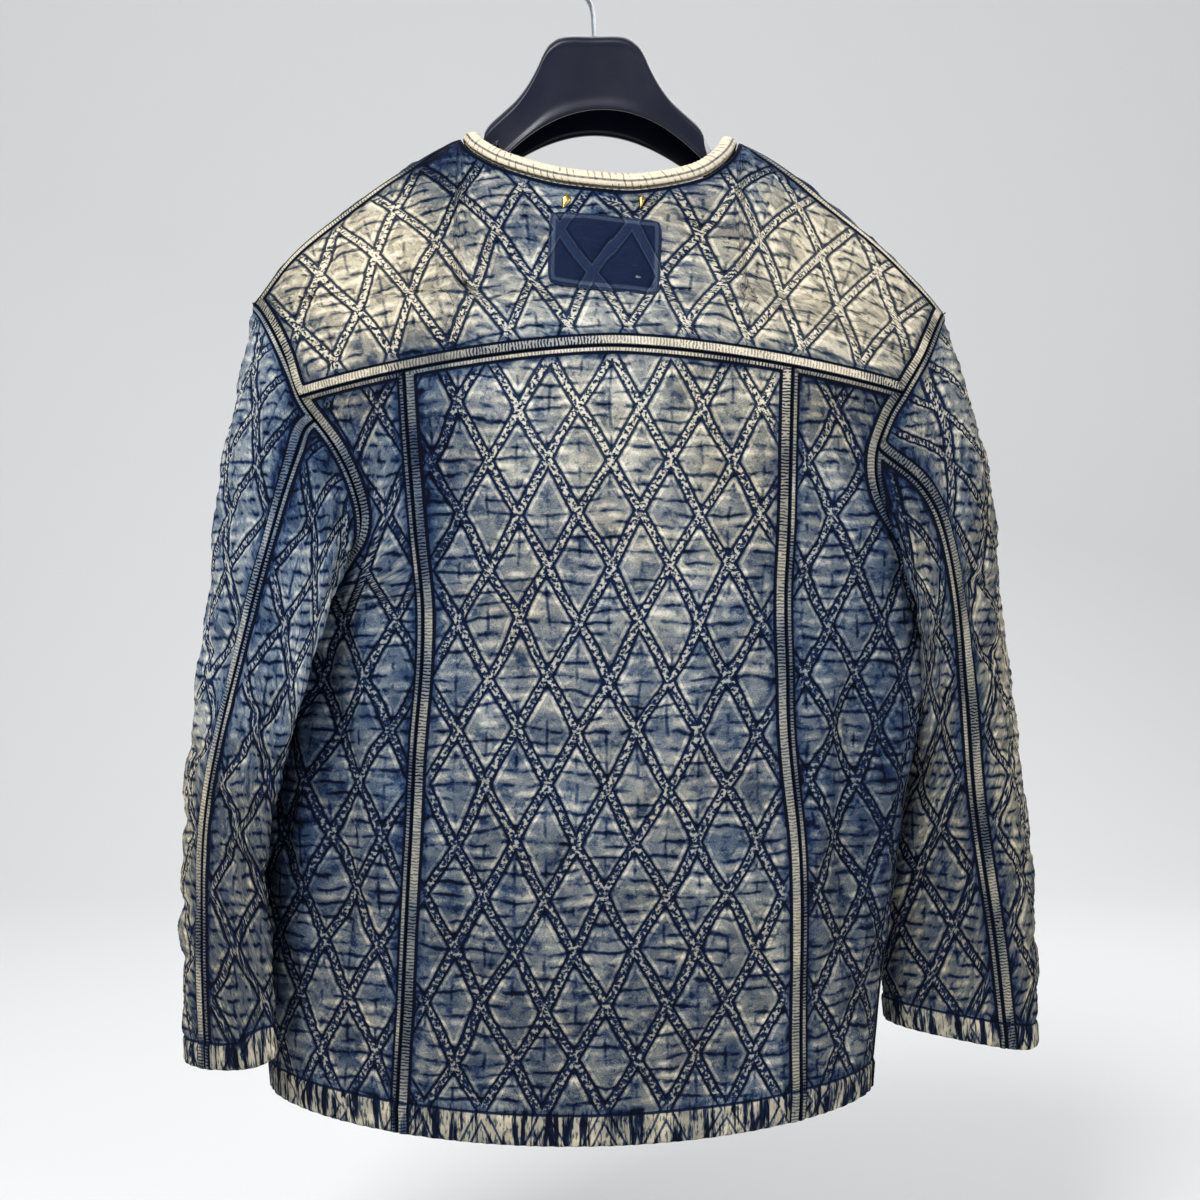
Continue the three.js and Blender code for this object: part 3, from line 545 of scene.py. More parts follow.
STITCH_HALF, BORDER_HALF, JOIN_HALF, HEM_LINE_HALF = 1.15, 1.35, 1.7, 1.1
DASH_ROWS, DASH_PITCH, PLEAT_PITCH, RIB_PITCH = 4.0, 9.5, 21.0, 2.3
# Strengths of the marks on the swells: their creases, corners and the sides of the stitches are darkened as
# painted shade, and their crests lightened as a painted highlight.
CLOUDED, FUZZY, BLOTCHED, CREST_HIGHLIGHT, CREASE_SHADE, PLEAT_SHADE = 0.85, 0.85, 0.22, 0.17, 0.44, 0.30
CORNER_SHADE, STITCH_SIDE_SHADE, BLUER_BY_BAND, DARKER_BY_BAND = 0.18, 0.27, 0.10, 0.26
BAND_PALER, BAND_DEEP, RIB_DARK, DEEP_RIB_DARK = 0.17, 0.20, 0.14, 0.38
HEM_PALE, PUCKER_DARK, CROSSED_DARK = 0.49, 0.66, 0.34
NAVY = paint(3, 9, 24)
BLUE_STAGES = [
    (0.0, NAVY), (0.19, paint(13, 33, 68)), (0.38, paint(52, 73, 101)), (0.56, paint(100, 115, 132)),
    (0.73, paint(152, 159, 161)), (0.9, paint(206, 206, 198)), (1.0, paint(228, 227, 217)),
]
TAN_STAGES = [
    (0.0, NAVY), (0.19, paint(15, 31, 60)), (0.38, paint(58, 68, 80)), (0.56, paint(108, 109, 103)),
    (0.73, paint(162, 155, 137)), (0.9, paint(214, 203, 177)), (1.0, paint(235, 225, 202)),
]


def start_material(name, roughness, **constants):
    """A new material with one shader, and a wire in its nodes to start from."""
    material = bpy.data.materials.new(name)
    material.use_nodes = True
    tree = material.node_tree
    shader = tree.nodes["Principled BSDF"]
    shader.inputs["Roughness"].default_value = roughness
    for socket, value in constants.items():
        shader.inputs[socket.replace("_", " ")].default_value = value
    return Wire(tree), material


def washed_denim():
    """Quilted denim after a harsh wash, as one number from navy to cream that runs through a row of
    colours: pale swells mottled with blue, with painted shade in their creases and corners and beside
    the stitches and painted highlights on their crests and rims, flecked channels between dark rows of
    stitches, ribbed felled bands, and puckered hems. The number also holds each piece's painted shade."""
    wire, material = start_material("washed_denim", 0.95, Specular_IOR_Level=0.12)

    cut = wire.attribute("cut")
    p, q, loose = wire.attribute("quilt").parts()
    from_join, past_band, along_band = wire.attribute("band").parts()
    # The first number is how pale the cloth is: its wash, with the pieces' painted shade in it.
    dye_and_shade, tan, hem = wire.attribute("dye_and_shade").parts()

    ragged = (cut.noise(420, 3, 0.6) - 0.5) * 1.5
    gap_p, gap_q = p.from_whole() * LINE_GAP, q.from_whole() * LINE_GAP
    past = gap_p.math("MINIMUM", gap_p, gap_q) - CHANNEL_HALF
    in_channel = (past + ragged * 0.3).rises(0.4, -0.4)
    stitches = (past + ragged * 0.6).line(0.0, STITCH_HALF)

    # The open swells: cloudy stains, short dark creases across and down them painted as shade, painted
    # highlights on their crests and rims, painted shade in their corners and by the stitches, a fuzzy nap
    cloud = cut.noise(38, 5, 0.6)
    blotches = cut.noise(85, 6, 0.68).rises(0.50, 0.64)
    nap = cut.stretched(1.0, 1.9).noise(900, 3, 0.75)
    wander = (cut.noise(40, 3) - 0.5) * 9.0
    from_row = ((p - q) * DASH_ROWS + wander * 0.11).from_whole() * DASH_PITCH + ragged
    # Painted shade in short creases across the swells, and painted highlights on the crests between them
    shaded_creases = from_row.rises(1.9, 0.1) * cut.stretched(0.6, 1.0).noise(70, 3, 0.6).rises(0.43, 0.58)
    crest_highlights = from_row.rises(1.8, 4.2) * cut.stretched(0.7, 1.0).noise(95, 4, 0.65).rises(0.44, 0.60)
    # Painted shade in creases down the swells
    from_pleat = (p + q).from_whole() * PLEAT_PITCH + wander * 0.12 + ragged
    shaded_pleats = from_pleat.rises(1.7, 0.1) * cut.noise(58, 3).rises(0.47, 0.62)
    # Painted shade in the diamonds' sunk corners by the crossings, and where the swells dip to the rows of
    # stitches
    corner_shade = (gap_p + gap_q).rises(17.0, 6.0) * (cloud.rises(0.30, 0.62) * 0.6 + 0.4)
    stitch_side_shade = past.rises(3.2, 0.2) * cut.noise(150, 3).rises(0.38, 0.62)
    swell = dye_and_shade + (cloud - 0.5) * CLOUDED + (nap - 0.5) * FUZZY - blotches * BLOTCHED
    swell = swell + crest_highlights * CREST_HIGHLIGHT - shaded_creases * CREASE_SHADE - shaded_pleats * PLEAT_SHADE - corner_shade * CORNER_SHADE - stitch_side_shade * STITCH_SIDE_SHADE
    # A painted highlight along the swells' rims, just past the channels
    swell = swell + past.line(2.4, 1.7) * 0.16

    # Channels: pale pebbles of padding, with indigo between them where the wash reached least
    flecks = (cut.noise(360, 2, 0.55) + dye_and_shade * 0.22).rises(0.54, 0.70)
    channel = dye_and_shade * 0.3 + flecks * (dye_and_shade * 0.72 + 0.20) + (nap - 0.5) * 0.2
    cloth = in_channel * channel + (1 - in_channel) * swell
    cloth = cloth * (1 - stitches * 0.94) + stitches * (dye_and_shade.rises(0.42, 0.9) * 0.36 + 0.02)

    # Felled bands: cross ribs, and a dark row of stitches at the join and at the border
    from_rib = (along_band / RIB_PITCH + (cut.noise(160, 2) - 0.5) * 1.4).from_whole() * RIB_PITCH
    ribs = from_rib.rises(0.75, 0.15) * cut.noise(240, 1).rises(0.32, 0.5)
    on_band = past_band.rises(0.5, -0.3)
    near_band = past_band.rises(10.0, 1.0)
    deep = cut.noise(15, 3).rises(0.42, 0.60)
    band = dye_and_shade * 1.05 + BAND_PALER + (cut.noise(60, 3) - 0.5) * 0.5 - deep * BAND_DEEP + (nap - 0.5) * 0.2
    band = band - ribs * (deep * DEEP_RIB_DARK + RIB_DARK)
    beside = dye_and_shade - shaded_creases * 0.2 + (cloud - 0.5) * 0.5 - blotches * 0.2 - near_band * BLUER_BY_BAND
    cloth = cloth * loose + beside * (1 - loose) - (1 - loose) * stitches * 0.3
    cloth = cloth - near_band * (1 - on_band) * cut.noise(130, 3).rises(0.42, 0.66) * DARKER_BY_BAND
    cloth = on_band * band + (1 - on_band) * cloth
    border = (past_band + ragged * 0.18 + 0.1).line(0.0, BORDER_HALF)
    join = (from_join + ragged * 0.15).line(0.0, JOIN_HALF)
    lines = border.math("MAXIMUM", border, join)
    cloth = cloth * (1 - lines * 0.98)

    # Turned hems: upright puckers below a row of stitches, with the quilting faint through them
    puckers = cut.stretched(1.0, 0.13).noise(210, 3, 0.6).rises(0.47, 0.61)
    on_hem = hem.rises(0.4, -0.4) * (1 - on_band)
    crossed = cut.stretched(1.0, 0.3).noise(420, 3, 0.6).rises(0.50, 0.64)
    hem_cloth = dye_and_shade * 0.5 + HEM_PALE - puckers * PUCKER_DARK - crossed * CROSSED_DARK - stitches * 0.4
    hem_cloth = hem_cloth + (cloud - 0.5) * 0.8
    cloth = on_hem * hem_cloth + (1 - on_hem) * (cloth - hem.rises(8.0, 0.0) * puckers * 0.35)
    hem_line = (hem + ragged * 0.2).line(0.0, HEM_LINE_HALF)
    cloth = cloth * (1 - hem_line * 0.8) + hem_line * 0.06

    tanned = (tan + on_hem * 0.35 + on_band * 0.2 + (cut.noise(17, 3) - 0.5) * 0.9).rises(0.0, 1.0)
    tanned.mixed(cloth.coloured(BLUE_STAGES), cloth.coloured(TAN_STAGES)).feeds("Base Color")

    # Fine relief: stitches pull in, pebbles, ribs and puckers stand up
    relief = (cloud - 0.5) * 0.8 + nap * 0.25 - shaded_creases * 0.5 - shaded_pleats * 0.35
    relief = relief + in_channel * flecks * 0.45 - stitches * 0.8
    relief = relief * loose - on_band * ribs * 0.5 - lines * 0.9 - hem_line * 0.8 - on_hem * puckers * 0.9
    relief.bump(0.9, 0.0024).feeds("Normal")
    return material


DENIM = washed_denim()
ROW_ZERO, COLUMN_ZERO, COLUMN_LEAN = -353.9, -7.9, 0.0085


def left_seam_phi(z):
    return np.radians(left_back_seam(z))


def right_seam_phi(z):
    return np.radians(right_back_seam(z))


def back_lattice(points, u, v):
    """p and q, whole numbers along the two ways of quilting, from columns and rows of diamonds that
    hang straight down the back."""
    down = ROW_ZERO - points[..., 2]
    columns = (points[..., 0] - COLUMN_ZERO + COLUMN_LEAN * down) / DIAMOND_WIDTH
    return columns + down / DIAMOND_HEIGHT, columns - down / DIAMOND_HEIGHT


def washed_and_shaded(dye_and_shade, dye_and_shade_spots, tan, tan_spots=()):
    """A piece's wash and painted shade: how far the dye is out, lowered where shade is painted, and how
    brown it has gone, each a base and spots by x and z."""
    def wash_and_shade(points):
        x, z = points[..., 0], points[..., 2]
        return blots(x, z, dye_and_shade, dye_and_shade_spots), blots(x, z, tan, tan_spots)

    return wash_and_shade


back_points = laid_out(below_yoke(-1, left_seam_phi, right_seam_phi))
back_centre = make_cloth(
    "back_centre_cloth", back_points, 1,
    [("left", WIDE_BAND), ("right", WIDE_BAND), ("top", NARROW_BAND)],
    back_lattice, [
        ((92, -360), (84, -640), 6, 9, -3.5),
        ((104, -420), (112, -700), -5, 7, 2.5),
        ((-112, -352), (-98, -520), 4, 9, -3.0),
        ((-60, -700), (40, -735), 4, 14, -1.6),
        ((-20, -560), (70, -575), -3, 12, -1.4),
        ((-90, -800), (-20, -790), 5, 10, 1.6),
        ((30, -800), (110, -812), -4, 10, -1.8),
    ],
    # Palest under the yoke and down the middle, bluer beside the left seam and towards the hem
    washed_and_shaded(0.59, [
        (-115, -400, 26, 90, -0.26), (0, -350, 90, 60, 0.14), (60, -450, 60, 60, 0.06),
        (0, -850, 180, 190, -0.13), (-100, -700, 40, 120, -0.08), (110, -560, 25, 120, -0.06),
        (130, -340, 30, 30, 0.16), (-115, -330, 20, 18, -0.1),
    ], 0.45, [(100, -380, 60, 60, 0.3), (0, -800, 200, 120, 0.25)]),
    11, hem=("bottom", HEM_DEPTH),
)
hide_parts("back_centre")
back_flat, back_area = cloth_size(back_points)

# Sides of the back: from each long seam round to the side seam, and up to the armhole. Their felled
# seams lie over them from the middle panel, so that only a narrow strip of the band is theirs.
def armhole(side, bottom, stations):
    """The curve of an armhole: its height falls with an angle, 0 on the shoulder and 180 under the
    arm, and how far round the body it stands is set at stations. Returns the edge's phi at a height,
    and its point at an angle, which is below zero along the front."""
    spread = curve_through(stations)
    top = float(body_point(side * np.radians(spread(0.0)), 0.0)[2])

    def edge_phi(z):
        share = np.clip((top - z) / (top - bottom), 0, 1)
        return side * np.radians(spread(np.degrees(np.arccos(1 - 2 * share))))

    def edge_point(alpha):
        alpha = np.where(alpha > 180, alpha - 360, alpha)
        z = top + (bottom - top) * (1 - np.cos(np.radians(alpha))) / 2
        x = ring_x(side * np.radians(spread(np.abs(alpha))), z)
        return body_place(np.where(alpha < 0, 1, -1), x, z)

    return edge_phi, edge_point


LEFT_UNDERARM, RIGHT_UNDERARM = -500, -485
left_arm_phi, left_arm_point = armhole(-1, LEFT_UNDERARM, [
    (0, 75), (35, 64.5), (52, 60), (68, 57), (88, 48.5), (104, 45), (118, 45), (130, 50), (141, 56),
    (160, 73), (180, 90),
])
right_arm_phi, right_arm_point = armhole(1, RIGHT_UNDERARM, [
    (0, 73), (46, 63.5), (67, 56.5), (78, 52.5), (94, 49.5), (110, 51.5), (126, 59.5), (141, 72),
    (160, 84), (180, 90),
])


def round_lattice(first, edge, row_zero=ROW_ZERO):
    """The lattice of a piece that bends round: its columns are counted along the cloth from an edge,
    and its rows down from row_zero."""
    def lattice(points, u, v):
        columns = first + (u - u[:, -1:] if edge == "right" else u) / DIAMOND_WIDTH
        rows = (row_zero - points[..., 2]) / DIAMOND_HEIGHT
        return columns + rows, columns - rows

    return lattice


for word, phis, arm_edge, inner_edge, first, seed, creases, wash_and_shade in [
    ("left", (left_arm_phi, left_seam_phi), "left", "right", -2.5, 12, [
        ((-196, -520), (-176, -760), 8, 11, -5.0),
        ((-160, -470), (-150, -640), -5, 9, 3.5),
        ((-214, -560), (-205, -700), 3, 7, 3.0),
        ((-150, -770), (-180, -835), 0, 10, -2.0),
    ], washed_and_shaded(
        # Darker than the middle of the back, partly as painted shade, with painted shade down the side edge
        # at x -215 where the sleeve meets the body
        0.45, [(-150, -450, 30, 90, 0.08), (-170, -800, 60, 90, 0.05), (-215, -640, 25, 150, -0.12)],
        0.32, [(-170, -780, 80, 120, 0.35), (-180, -340, 50, 30, 0.5)],
    )),
    ("right", (right_seam_phi, right_arm_phi), "right", "left", 3.2, 13, [
        ((196, -500), (186, -760), -8, 11, -5.0),
        ((160, -480), (158, -700), 4, 9, 3.0),
        ((150, -360), (170, -470), 5, 9, -2.5),
        ((220, -560), (212, -700), 3, 7, 3.0),
    ], washed_and_shaded(
        # Darker than the middle of the back, partly as painted shade, with painted shade down the side edge
        # at x 215 where the sleeve meets the body
        0.46, [(160, -420, 40, 90, 0.12), (170, -800, 60, 90, 0.02), (215, -640, 25, 150, -0.12)],
        0.42, [(170, -780, 80, 120, 0.35), (180, -340, 60, 40, 0.6)],
    )),
]:
    side_points = laid_out(below_yoke(-1, *phis))
    side_piece = make_cloth(
        f"back_side_{word}_cloth", side_points, 1,
        [(arm_edge, WIDE_BAND), (inner_edge, NARROW_BAND), ("top", NARROW_BAND)],
        round_lattice(first, inner_edge), creases, wash_and_shade, seed, hem=("bottom", HEM_DEPTH),
    )
    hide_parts(f"back_side_{word}")
    side_flat, side_area = cloth_size(side_points)

# Yoke: one piece across both shoulder blades, from the arched seam up to the neck and the shoulder
# seams, and the first to fade where the hanger lifts it to the light.
NECK_CENTRE, NECK_HALF = 6, 104
NECK_FRONT_DROP, NECK_FRONT_ROUNDNESS = 11.3, 0.3
SEAM_ALPHA = 8.0
neck_back_height = curve_through([
    (-98, -146.5), (-92, -158.5), (-80, -169), (-67, -177), (-30, -190), (6, -195.5), (35, -196.5),
    (79, -186.5), (97, -173), (104, -164), (110, -149.5),
])


def shoulder_seam(edge_point):
    """How far behind the ridge a shoulder seam lies, as a drop, at a distance from the neck's middle."""
    x, _, z = edge_point(SEAM_ALPHA)
    end = (abs(x - NECK_CENTRE), np.sqrt(ridge_height(x) - z))
    return curve_through([(NECK_HALF, 0), (125, 2), (160, 2.7), end])


left_shoulder_drop = shoulder_seam(left_arm_point)
right_shoulder_drop = shoulder_seam(right_arm_point)


def top_drop(face, x):
    """The drop of a panel's top edge: the neck's in the middle and the shoulder seam's beside it."""
    away = np.abs(x - NECK_CENTRE)
    seam = -np.where(x < NECK_CENTRE, left_shoulder_drop(away), right_shoulder_drop(away))
    if face < 0:
        neck = -np.sqrt(np.maximum(ridge_height(x) - neck_back_height(x), 0))
    else:
        neck = NECK_FRONT_DROP * np.maximum(1 - (away / NECK_HALF) ** 2, 0) ** NECK_FRONT_ROUNDNESS
    return np.where(away > 0.9999 * NECK_HALF, seam, neck)


def whole_panel(face, edge_from, edge_to):
    """As below_yoke, with rows that run on above the yoke's height: to the top edge at 2 behind, and
    in front to the ridge or just under the neck at 2, and to the top edge at 3."""
    lower = below_yoke(face, edge_from, edge_to)

    def surface(share, row):
        z = np.full(np.broadcast(share, row).shape, float(YOKE_MIDDLE))
        low_row = np.minimum(row, 1)
        for _ in range(45):
            phi = edge_from(z) * (1 - share) + edge_to(z) * share
            x = ring_x(phi, z)
            top = top_drop(face, x)
            knee = top if face < 0 else np.maximum(top + 1.8, 0)
            start = face * np.sqrt(np.maximum(ridge_height(x) - yoke_height(x), 0))
            climbing = start + (knee - start) * np.clip(row - 1, 0, 1)
            drop = climbing + (top - knee) * np.clip(row - 2, 0, 1)
            z = z * 0.7 + (ridge_height(x) - drop * drop) * 0.3
        return np.where((row > 1)[..., None], body_point(phi, drop), lower(share, low_row))

    return surface


YOKE_COLUMN, YOKE_ROW, YOKE_FIRST, YOKE_COLUMN_ZERO = 41.0, 74.6, 15.0, -15.5
YOKE_LEAN, YOKE_LEAN_CURVE, YOKE_STEPS = 0.2276, 0.6, 17
NECK_STITCH = 2.4


def yoke_lattice(points, u=None, v=None):
    """Rows of diamonds counted up the cloth from the yoke's seam, in columns that stand square to it
    and so lean outwards."""
    x, z = points[..., 0], points[..., 2]
    height = 0
    low = yoke_height(x)
    before = body_place(-1, x, low)
    for step in np.linspace(0, 1, YOKE_STEPS)[1:]:
        after = body_place(-1, x, low + (z - low) * step)
        height = height + np.linalg.norm(after - before, axis=-1)
        before = after
    across = (x - YOKE_CENTRE) / YOKE_REACH
    lean = np.sign(across) * YOKE_LEAN * np.abs(across) ** YOKE_LEAN_CURVE
    columns = (x - YOKE_COLUMN_ZERO - lean * height) / YOKE_COLUMN
    rows = (height - YOKE_FIRST) / YOKE_ROW
    return columns + rows, columns - rows


def beside_neck(line):
    return np.abs(line[:, 0] - NECK_CENTRE) > NECK_HALF


def round_neck(line):
    return np.abs(line[:, 0] - NECK_CENTRE) <= NECK_HALF


YOKE_SEED = 14
yoke_points = laid_out(whole_panel(-1, left_arm_phi, right_arm_phi), (1, 2))
yoke = make_cloth(
    "back_yoke_cloth", yoke_points, 1,
    [("left", WIDE_BAND), ("right", WIDE_BAND), ("bottom", WIDE_BAND),
     ("top", WIDE_BAND, beside_neck), ("top", NECK_STITCH, round_neck)],
    yoke_lattice, [
        ((150, -190), (225, -300), 5, 8, -2.5),
        ((-150, -190), (-215, -290), -5, 8, -2.0),
        ((80, -195), (110, -250), 2, 8, -1.5),
        ((-80, -190), (-110, -240), -2, 8, 1.5),
    ], washed_and_shaded(0.68, [
        (-160, -240, 60, 70, 0.16), (180, -260, 80, 70, 0.18), (-110, -322, 30, 16, -0.30),
        (-120, -165, 40, 22, -0.42), (-105, -190, 20, 40, -0.2), (120, -168, 40, 18, -0.25),
        (0, -220, 70, 30, -0.15), (20, -310, 70, 30, 0.06),
    ], 0.32, [
        (-170, -250, 90, 80, 0.8), (190, -260, 100, 70, 0.8), (70, -210, 40, 30, 0.3),
    ]), YOKE_SEED,
)
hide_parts("back_yoke")
yoke_flat, yoke_area = cloth_size(yoke_points)

# Fronts: one piece each from the hem over the shoulder to its seam, open down the middle. They are
# hardly seen, so they are quilted and bound like the back.
FRONT_GAP_NECK, FRONT_GAP_HEM, FRONT_NECK = 6, 20, -258
FRONT_GRAIN = 3.6
neck_lines = {"back": yoke_points[-1]}


def front_edge(side):
    """The phi of a front's free edge, which stands a little off the neck's middle."""
    def edge(z):
        share = (FRONT_NECK - z) / (FRONT_NECK - HEM_SIDE)
        gap = FRONT_GAP_NECK + (FRONT_GAP_HEM - FRONT_GAP_NECK) * share
        return ring_phi(NECK_CENTRE + side * gap / 2, z)

    return edge


def front_lattice(points, u, v):
    """Rows are counted by the run of the cloth up from the hem, so that they turn over the shoulder."""
    down = ROW_ZERO - (points[:1, :, 2] + v)
    columns = (points[..., 0] - COLUMN_ZERO) / DIAMOND_WIDTH
    return columns + down / DIAMOND_HEIGHT, columns - down / DIAMOND_HEIGHT


for word, sign, phis, side_edge, free_edge in [
    ("left", -1, (left_arm_phi, front_edge(-1)), "left", "right"),
    ("right", 1, (front_edge(1), right_arm_phi), "right", "left"),
]:
    front_points = laid_out(whole_panel(1, *phis), (0, 3), FRONT_GRAIN)
    neck_lines[word] = front_points[-1]
    front = make_cloth(
        f"front_{word}_cloth", front_points, -1,
        [(side_edge, NARROW_BAND), ("top", NARROW_BAND, beside_neck), ("top", NECK_STITCH, round_neck)],
        front_lattice, [
            ((sign * 196, -520), (sign * 180, -760), -8 * sign, 11, -4.0),
            ((sign * 120, -330), (sign * 140, -560), 6, 12, -3.0),
            ((sign * 60, -640), (sign * 130, -660), 5, 12, -2.0),
        ], washed_and_shaded(
            0.50, [(0, -840, 240, 60, -0.1), (-120, -165, 60, 22, -0.2), (130, -170, 60, 22, -0.1)], 0.42,
        ), 15 + sign, hem=("bottom", HEM_DEPTH), free=(free_edge,),
    )
    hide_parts(f"front_{word}")
    front_flat, front_area = cloth_size(front_points)

# Sleeves: two pieces each, joined down the back and down the inside of the front, and set in after the
# shoulders were closed. They hang nearly straight, cupped round the body, with the elbow's old folds.
SLEEVE_STATIONS = np.array([0, 0.2, 0.4, 0.6, 0.8, 1])
SLEEVE_SPAN = 0.2
SQUARENESS = 0.72
SLEEVE_GRAIN = 2.5
SLEEVE_COLUMN, SLEEVE_ROW_ZERO = 0.3, -430


def sleeve_surface(side, edge_point, rings, alpha_from, alpha_to):
    """Part of a sleeve's tube: share round from one seam's angle to the other's, and row along from
    the armhole, 0, to the cuff, 1. A smooth curve at each angle runs through the armhole and five
    rings. A ring is a squared oval, pushed in at back and front where it cups round the body."""
    def fuller(value):
        return np.sign(value) * np.abs(value) ** SQUARENESS

    def ring_place(ring, alpha):
        x, y, z, out, deep, cup, tuck, turned, rise = ring
        across, back = fuller(np.cos(np.radians(alpha))), fuller(np.sin(np.radians(alpha)))
        away = out * across - np.where(back > 0, cup, tuck) * back * back
        c, s = np.cos(np.radians(turned)), np.sin(np.radians(turned))
        return np.stack([
            x + side * (away * c - deep * back * s), y - (away * s + deep * back * c), z + rise * across,
        ], axis=-1)

    def surface(share, row):
        alpha = (alpha_from(row) * (1 - share) + alpha_to(row) * share) % 360
        stations = np.stack([edge_point(alpha)] + [ring_place(ring, alpha) for ring in rings])
        last = len(rings)
        before = np.maximum(np.arange(last + 1) - 1, 0)
        after = np.minimum(np.arange(last + 1) + 1, last)
        reach = (SLEEVE_STATIONS[after] - SLEEVE_STATIONS[before])[:, None, None, None]
        slope = (stations[after] - stations[before]) / reach
        i = np.clip(np.searchsorted(SLEEVE_STATIONS, row[:, 0], side="right") - 1, 0, last - 1)
        r = np.arange(len(row))
        t = ((row[:, :1] - SLEEVE_STATIONS[i][:, None]) / SLEEVE_SPAN)[..., None]
        low, high, start, end = stations[i, r], stations[i + 1, r], slope[i, r], slope[i + 1, r]
        bend = t * (1 - t) ** 2 * start + t * t * (t - 1) * end
        return low + (high - low) * t * t * (3 - 2 * t) + bend * SLEEVE_SPAN

    return surface


LEFT_RINGS = [
    (-257.5, -12, -460, 14.5, 86, 74, 60, 0, 78), (-269, -16, -555, 18, 80, 60, 36, 0, 45),
    (-277, -20, -650, 22, 66, 44, 24, 0, 15), (-279, -24, -735, 22, 60, 48, 18, 0, 0),
    (-276, -26, -815, 22, 56, 49, 16, 0, -12),
]
RIGHT_RINGS = [
    (277, 6, -462, 20, 70, 37, 34, 0, 68), (281, 28, -560, 34, 54, -4, 0, 16, 40),
    (281, 30, -650, 48, 44, -2, 0, 18, 18), (279, 30, -735, 59, 34, 0, 0, 20, 0),
    (282, 28, -820, 57, 29, 0, 0, 20, -7),
]
left_sleeve_back = curve_through([(0, 78), (0.2, 54), (0.4, 46), (0.6, 38), (0.8, 34), (1, 33)])
left_sleeve_front = curve_through([(0, 270), (0.2, 268), (1, 240)])
right_sleeve_back = curve_through([(0, 90), (0.2, 74), (0.4, 86), (0.6, 78), (0.8, 64), (1, 55)])
right_sleeve_front = curve_through([(0, 270), (0.2, 268), (1, 245)])


def sleeve_place(edge):
    """For the folds: the distance round from the back seam, and the height."""
    def place(points, u, v):
        return (u - u[:, -1:] if edge == "right" else u), points[..., 2]

    return place


def sleeve_wash_and_shade(high, tan_high, low=0.45, tan_low=0.95):
    """Washed from high at the shoulder to low at the cuff, the darker cuff end partly painted shade, and
    stained tan likewise, with painted shade near the armholes and beside the body.
    """
    dyed_and_shaded = washed_and_shaded(high, [
        # Painted shade: the spots at x -205 and 208 near the armholes, and the narrow ones at x -225 and 225
        # where the sleeves meet the body
        (-290, -300, 60, 70, 0.14), (290, -300, 60, 70, 0.14), (-205, -385, 30, 70, -0.22),
        (208, -430, 26, 85, -0.22), (-225, -560, 12, 90, -0.12), (225, -590, 12, 90, -0.12),
        (-298, -660, 22, 150, 0.15), (322, -600, 22, 200, 0.13),
    ], tan_high)

    def wash_and_shade(points):
        dye_and_shade, tan = dyed_and_shaded(points)
        # Darker towards the cuff, partly painted shade
        fallen = smooth(-520, -700, points[..., 2])
        outside = smooth(270, 315, np.abs(points[..., 0]))
        return dye_and_shade + (low - high) * fallen, tan + (tan_low - tan_high) * fallen + 0.4 * outside

    return wash_and_shade


LEFT_ELBOW = [
    ((-4, -566), (70, -580), 4, 6, -3.0), ((-4, -600), (80, -612), 5, 7, -3.4),
    ((-4, -636), (60, -640), -3, 6, -3.0), ((-4, -672), (70, -690), 5, 7, -3.0),
    ((-4, -620), (60, -630), 3, 5, 2.2), ((-4, -760), (60, -770), 4, 7, -2.2),
    ((-2, -440), (55, -452), 4, 6, -2.6), ((-2, -495), (60, -512), -4, 6, -2.6),
]
LEFT_OUTSIDE = [
    ((-4, -590), (-60, -600), 4, 7, -2.6), ((-4, -660), (-70, -650), -4, 7, -2.4),
    ((-20, -470), (-30, -600), 6, 10, -3.0), ((-4, -740), (-50, -752), 3, 6, -2.2),
    ((-60, -420), (-80, -540), 4, 10, -2.4), ((-8, -430), (-66, -420), 4, 7, -2.2),
    ((-8, -520), (-60, -536), -3, 7, -2.4), ((-4, -705), (-56, -712), 3, 6, -2.2),
]
RIGHT_ELBOW = [
    ((4, -560), (60, -575), 4, 7, -2.6), ((4, -610), (70, -620), -4, 7, -2.6),
    ((4, -680), (60, -676), 4, 7, -2.4), ((20, -500), (26, -600), 5, 8, -2.6),
    ((6, -455), (60, -480), 5, 6, -2.8), ((4, -505), (55, -522), -4, 6, -2.8),
]
RIGHT_OUTSIDE = [
    ((-4, -600), (-60, -596), 4, 7, -2.4), ((-4, -650), (-60, -664), -4, 7, -2.2),
    ((-24, -430), (-34, -560), 5, 9, -2.8), ((-10, -748), (-60, -742), 3, 6, -2.0),
    ((-10, -470), (-70, -482), 4, 7, -2.4), ((-8, -524), (-64, -540), -4, 7, -2.4),
    ((-6, -702), (-60, -694), -4, 6, -2.2),
]

